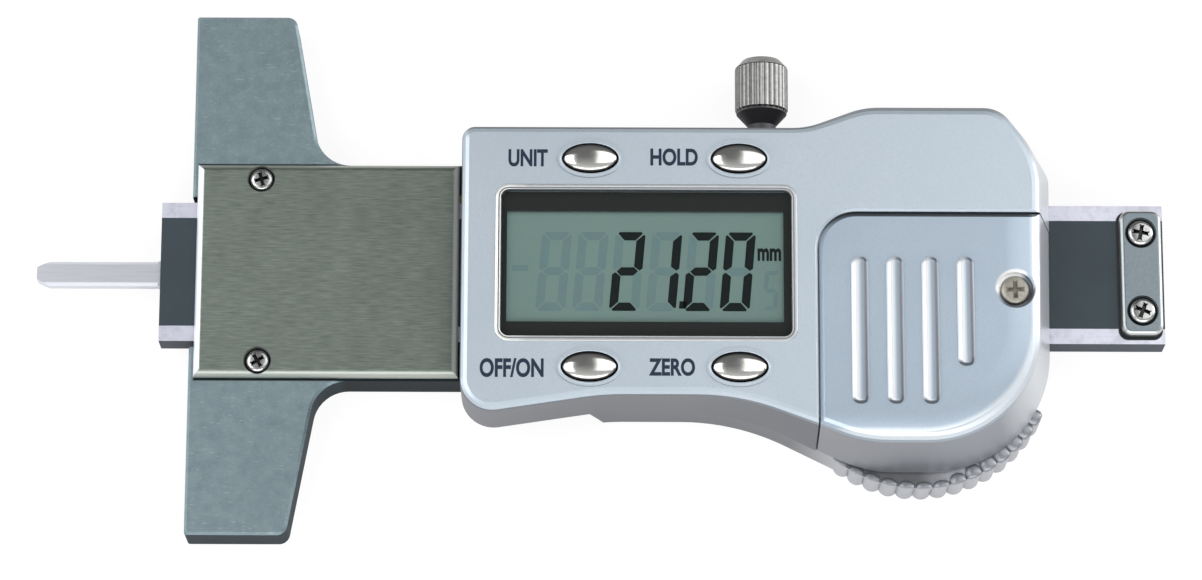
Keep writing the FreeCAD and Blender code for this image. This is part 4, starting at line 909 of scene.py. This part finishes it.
# Lock screw: turned steel knob with a straight knurl of 26 ridges, on a cone painted dark as a reflection.
lock_low, lock_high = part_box("lock_screw")
lock_x, lock_z = (lock_low.x + lock_high.x) / 2, (lock_low.z + lock_high.z) / 2
knob_radius, knob_start, knob_end = 3.0 * mm, 19.2 * mm, lock_high.y - 0.3 * mm
finish, tree, surface, place, normal = start_finish("turned_knob_steel", "9A9A99", 1.0, 0.32)
two_tones(surface, place, 0.4, 3.0, "6E6E6D", "A4A4A2")
position = add(tree, "SeparateXYZ", [place])
cone_painted_dark = add(tree, "MapRange", [position.outputs["Y"], knob_start + 0.25 * mm, knob_start - 0.2 * mm])
touch_up(finish, "58585B", cone_painted_dark)
rough = add(tree, "MapRange", [cone_painted_dark, 0, 1, 0.3, 0.55])
feed(surface, {"Roughness": rough})
knob_finish = finish


def turned(levels, count=52):
    """Outlines about the knob's axis for (radius, distance along Y) levels."""
    turns = [2 * math.pi * step / count for step in range(count)]
    return [[(lock_x + r * math.cos(t), y, lock_z - r * math.sin(t)) for t in turns] for r, y in levels]


thread_radius, thread_end, neck_radius, cone_length = 1.45 * mm, 16.1 * mm, 1.6 * mm, 1.5 * mm
ridge_count, ridge_radius, crown = 26, 0.55 * mm, 0.9 * mm
core = knob_radius - 0.2 * mm
levels = [(thread_radius, lock_low.y), (thread_radius, thread_end), (neck_radius, thread_end),
          (neck_radius, knob_start - cone_length), (core + 0.05 * mm, knob_start - 0.1 * mm),
          (core, knob_start), (core, knob_end - crown - 0.05 * mm),
          (knob_radius - 0.05 * mm, knob_end - crown), (knob_radius - 0.85 * mm, knob_end),
          (knob_radius - 1.1 * mm, knob_end - 0.05 * mm), (0.3 * mm, knob_end - 0.25 * mm)]
body = add_object("knob_body", loft(turned(levels)), knob_finish)
rows = []
for y, size, sunk in ((knob_start - 0.2 * mm, 0.2, 0.25), (knob_start, 0.7, 0.1),
                      (knob_start + 0.3 * mm, 1.0, 0), (knob_end - crown - 0.1 * mm, 1.0, 0),
                      (knob_end - crown + 0.15 * mm, 0.6, 0.1)):
    middle = knob_radius - ridge_radius - sunk * mm
    rows.append([(middle + ridge_radius * size * math.cos(t), y, ridge_radius * size * math.sin(t))
                 for t in (2 * math.pi * k / 12 for k in range(12))])
ridge = add_object("knurl_ridge", loft(rows), knob_finish)
places = [((lock_x, 0, lock_z), (0, 2 * math.pi * index / ridge_count, 0), (1, 1, 1))
          for index in range(ridge_count)]
knurl = placed_copies(ridge, places, knob_finish)
shape = bmesh.new()
shape.from_mesh(body.data)
shape.from_mesh(knurl)
whole = bpy.data.meshes.new("knob")
shape.to_mesh(whole)
shape.free()
bpy.data.objects.remove(body)
knob = add_object("lock_knob", whole, knob_finish)
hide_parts("lock_screw")
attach(knob, "lock_screw")


# Studio: pale floor just under the gauge, a large soft box high on the right with two lower ones
# beside it, two on the left and a strip in front.
floor_z = cad_low.z - 0.03 * mm
floor_half = 4.0
corners = [(x * floor_half, y * floor_half, floor_z) for x, y in ((-1, -1), (1, -1), (1, 1), (-1, 1))]
floor_mesh = bpy.data.meshes.new("floor")
floor_mesh.from_pydata(corners, [], [(0, 1, 2, 3)])
floor = bpy.data.objects.new("floor", floor_mesh)
bpy.context.scene.collection.objects.link(floor)

# The floor glows pale to the camera and at a third of that in reflections, and is matt to light.
finish = bpy.data.materials.new("pale_floor")
tree = bare_tree(finish)
matt = add(tree, "BsdfDiffuse", {"Color": (0.8, 0.8, 0.8, 1.0)})
glow = add(tree, "Emission", {"Color": (1.0, 1.0, 1.0, 1.0), "Strength": 1.1})
path = add(tree, "LightPath")
mirrored = add(tree, "Math", [path.outputs["Is Glossy Ray"], path.outputs["Is Transmission Ray"]],
               operation="MAXIMUM")
mirrored = add(tree, "Math", [mirrored, 0.32], operation="MULTIPLY")
seen = add(tree, "Math", [path.outputs["Is Camera Ray"], 0.8], operation="MULTIPLY")
share = add(tree, "Math", [seen, mirrored], operation="ADD")
both = add(tree, "MixShader", [share, matt, glow])
add(tree, "OutputMaterial", {"Surface": both})
floor_mesh.materials.append(finish)
floor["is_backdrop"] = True

# The room is brightest in front of the gauge, towards -Y.
world = bpy.data.worlds.new("studio")
bpy.context.scene.world = world
tree = bare_tree(world)
sky = add(tree, "TexCoord")
towards = add(tree, "SeparateXYZ", [sky.outputs["Generated"]])
level = add(tree, "MapRange", [towards.outputs["Y"], -0.5, 0.25, 0.6, 0.14])
air = add(tree, "Background", {"Color": (0.97, 0.985, 1.0, 1.0), "Strength": level})
add(tree, "OutputWorld", {"Surface": air})

gauge_middle = Vector((46, 0, 0)) * mm


def softbox(name, position, width, height, radiance):
    """Area light, in metres, that faces the gauge's middle; radiance 1 shows as white in a mirror."""
    light = bpy.data.lights.new(name, "AREA")
    light.shape = "RECTANGLE"
    light.size = width
    light.size_y = height
    light.energy = radiance * math.pi * width * height
    lamp = bpy.data.objects.new(name, light)
    lamp.location = position
    back = (lamp.location - gauge_middle).normalized()
    across = (Vector((1, 0, 0)) - back * back.x).normalized()
    lamp.rotation_euler = Matrix((across, back.cross(across), back)).transposed().to_euler()
    bpy.context.scene.collection.objects.link(lamp)


softbox("right_overhead", (0.485, 0.28, 0.85), 0.73, 0.85, 1.35)
softbox("right_low", (0.9, 0.25, 0.42), 0.6, 0.5, 2.7)
softbox("right_side", (0.95, 0.3, 0.12), 0.5, 0.3, 3.0)
softbox("left", (-0.52, 0.1, 0.76), 0.62, 0.7, 2.6)
softbox("left_low", (-0.95, 0.0, 0.25), 0.5, 0.5, 2.2)
softbox("front_strip", (0.05, -0.75, 0.62), 1.1, 0.6, 2.4)

camera = bpy.data.cameras.new("camera")
camera.sensor_width = 36.0
camera.lens = 136.4
camera.clip_start = 0.05
camera.clip_end = 20.0
viewer = bpy.data.objects.new("camera", camera)
aim = Vector((45.89, -1.95, 1.7)) * mm
lean, roll, distance_in_mm = math.radians(15.0), math.radians(0.2), 508.9
viewer.location = aim + Vector((0, -math.sin(lean), math.cos(lean))) * distance_in_mm * mm
turn = (viewer.location - aim).to_track_quat("Z", "Y")
viewer.rotation_mode = "QUATERNION"
viewer.rotation_quaternion = turn @ Matrix.Rotation(roll, 4, "Z").to_quaternion()
bpy.context.scene.collection.objects.link(viewer)
bpy.context.scene.camera = viewer
bpy.context.scene.view_settings.view_transform = "Standard"

low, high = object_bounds()
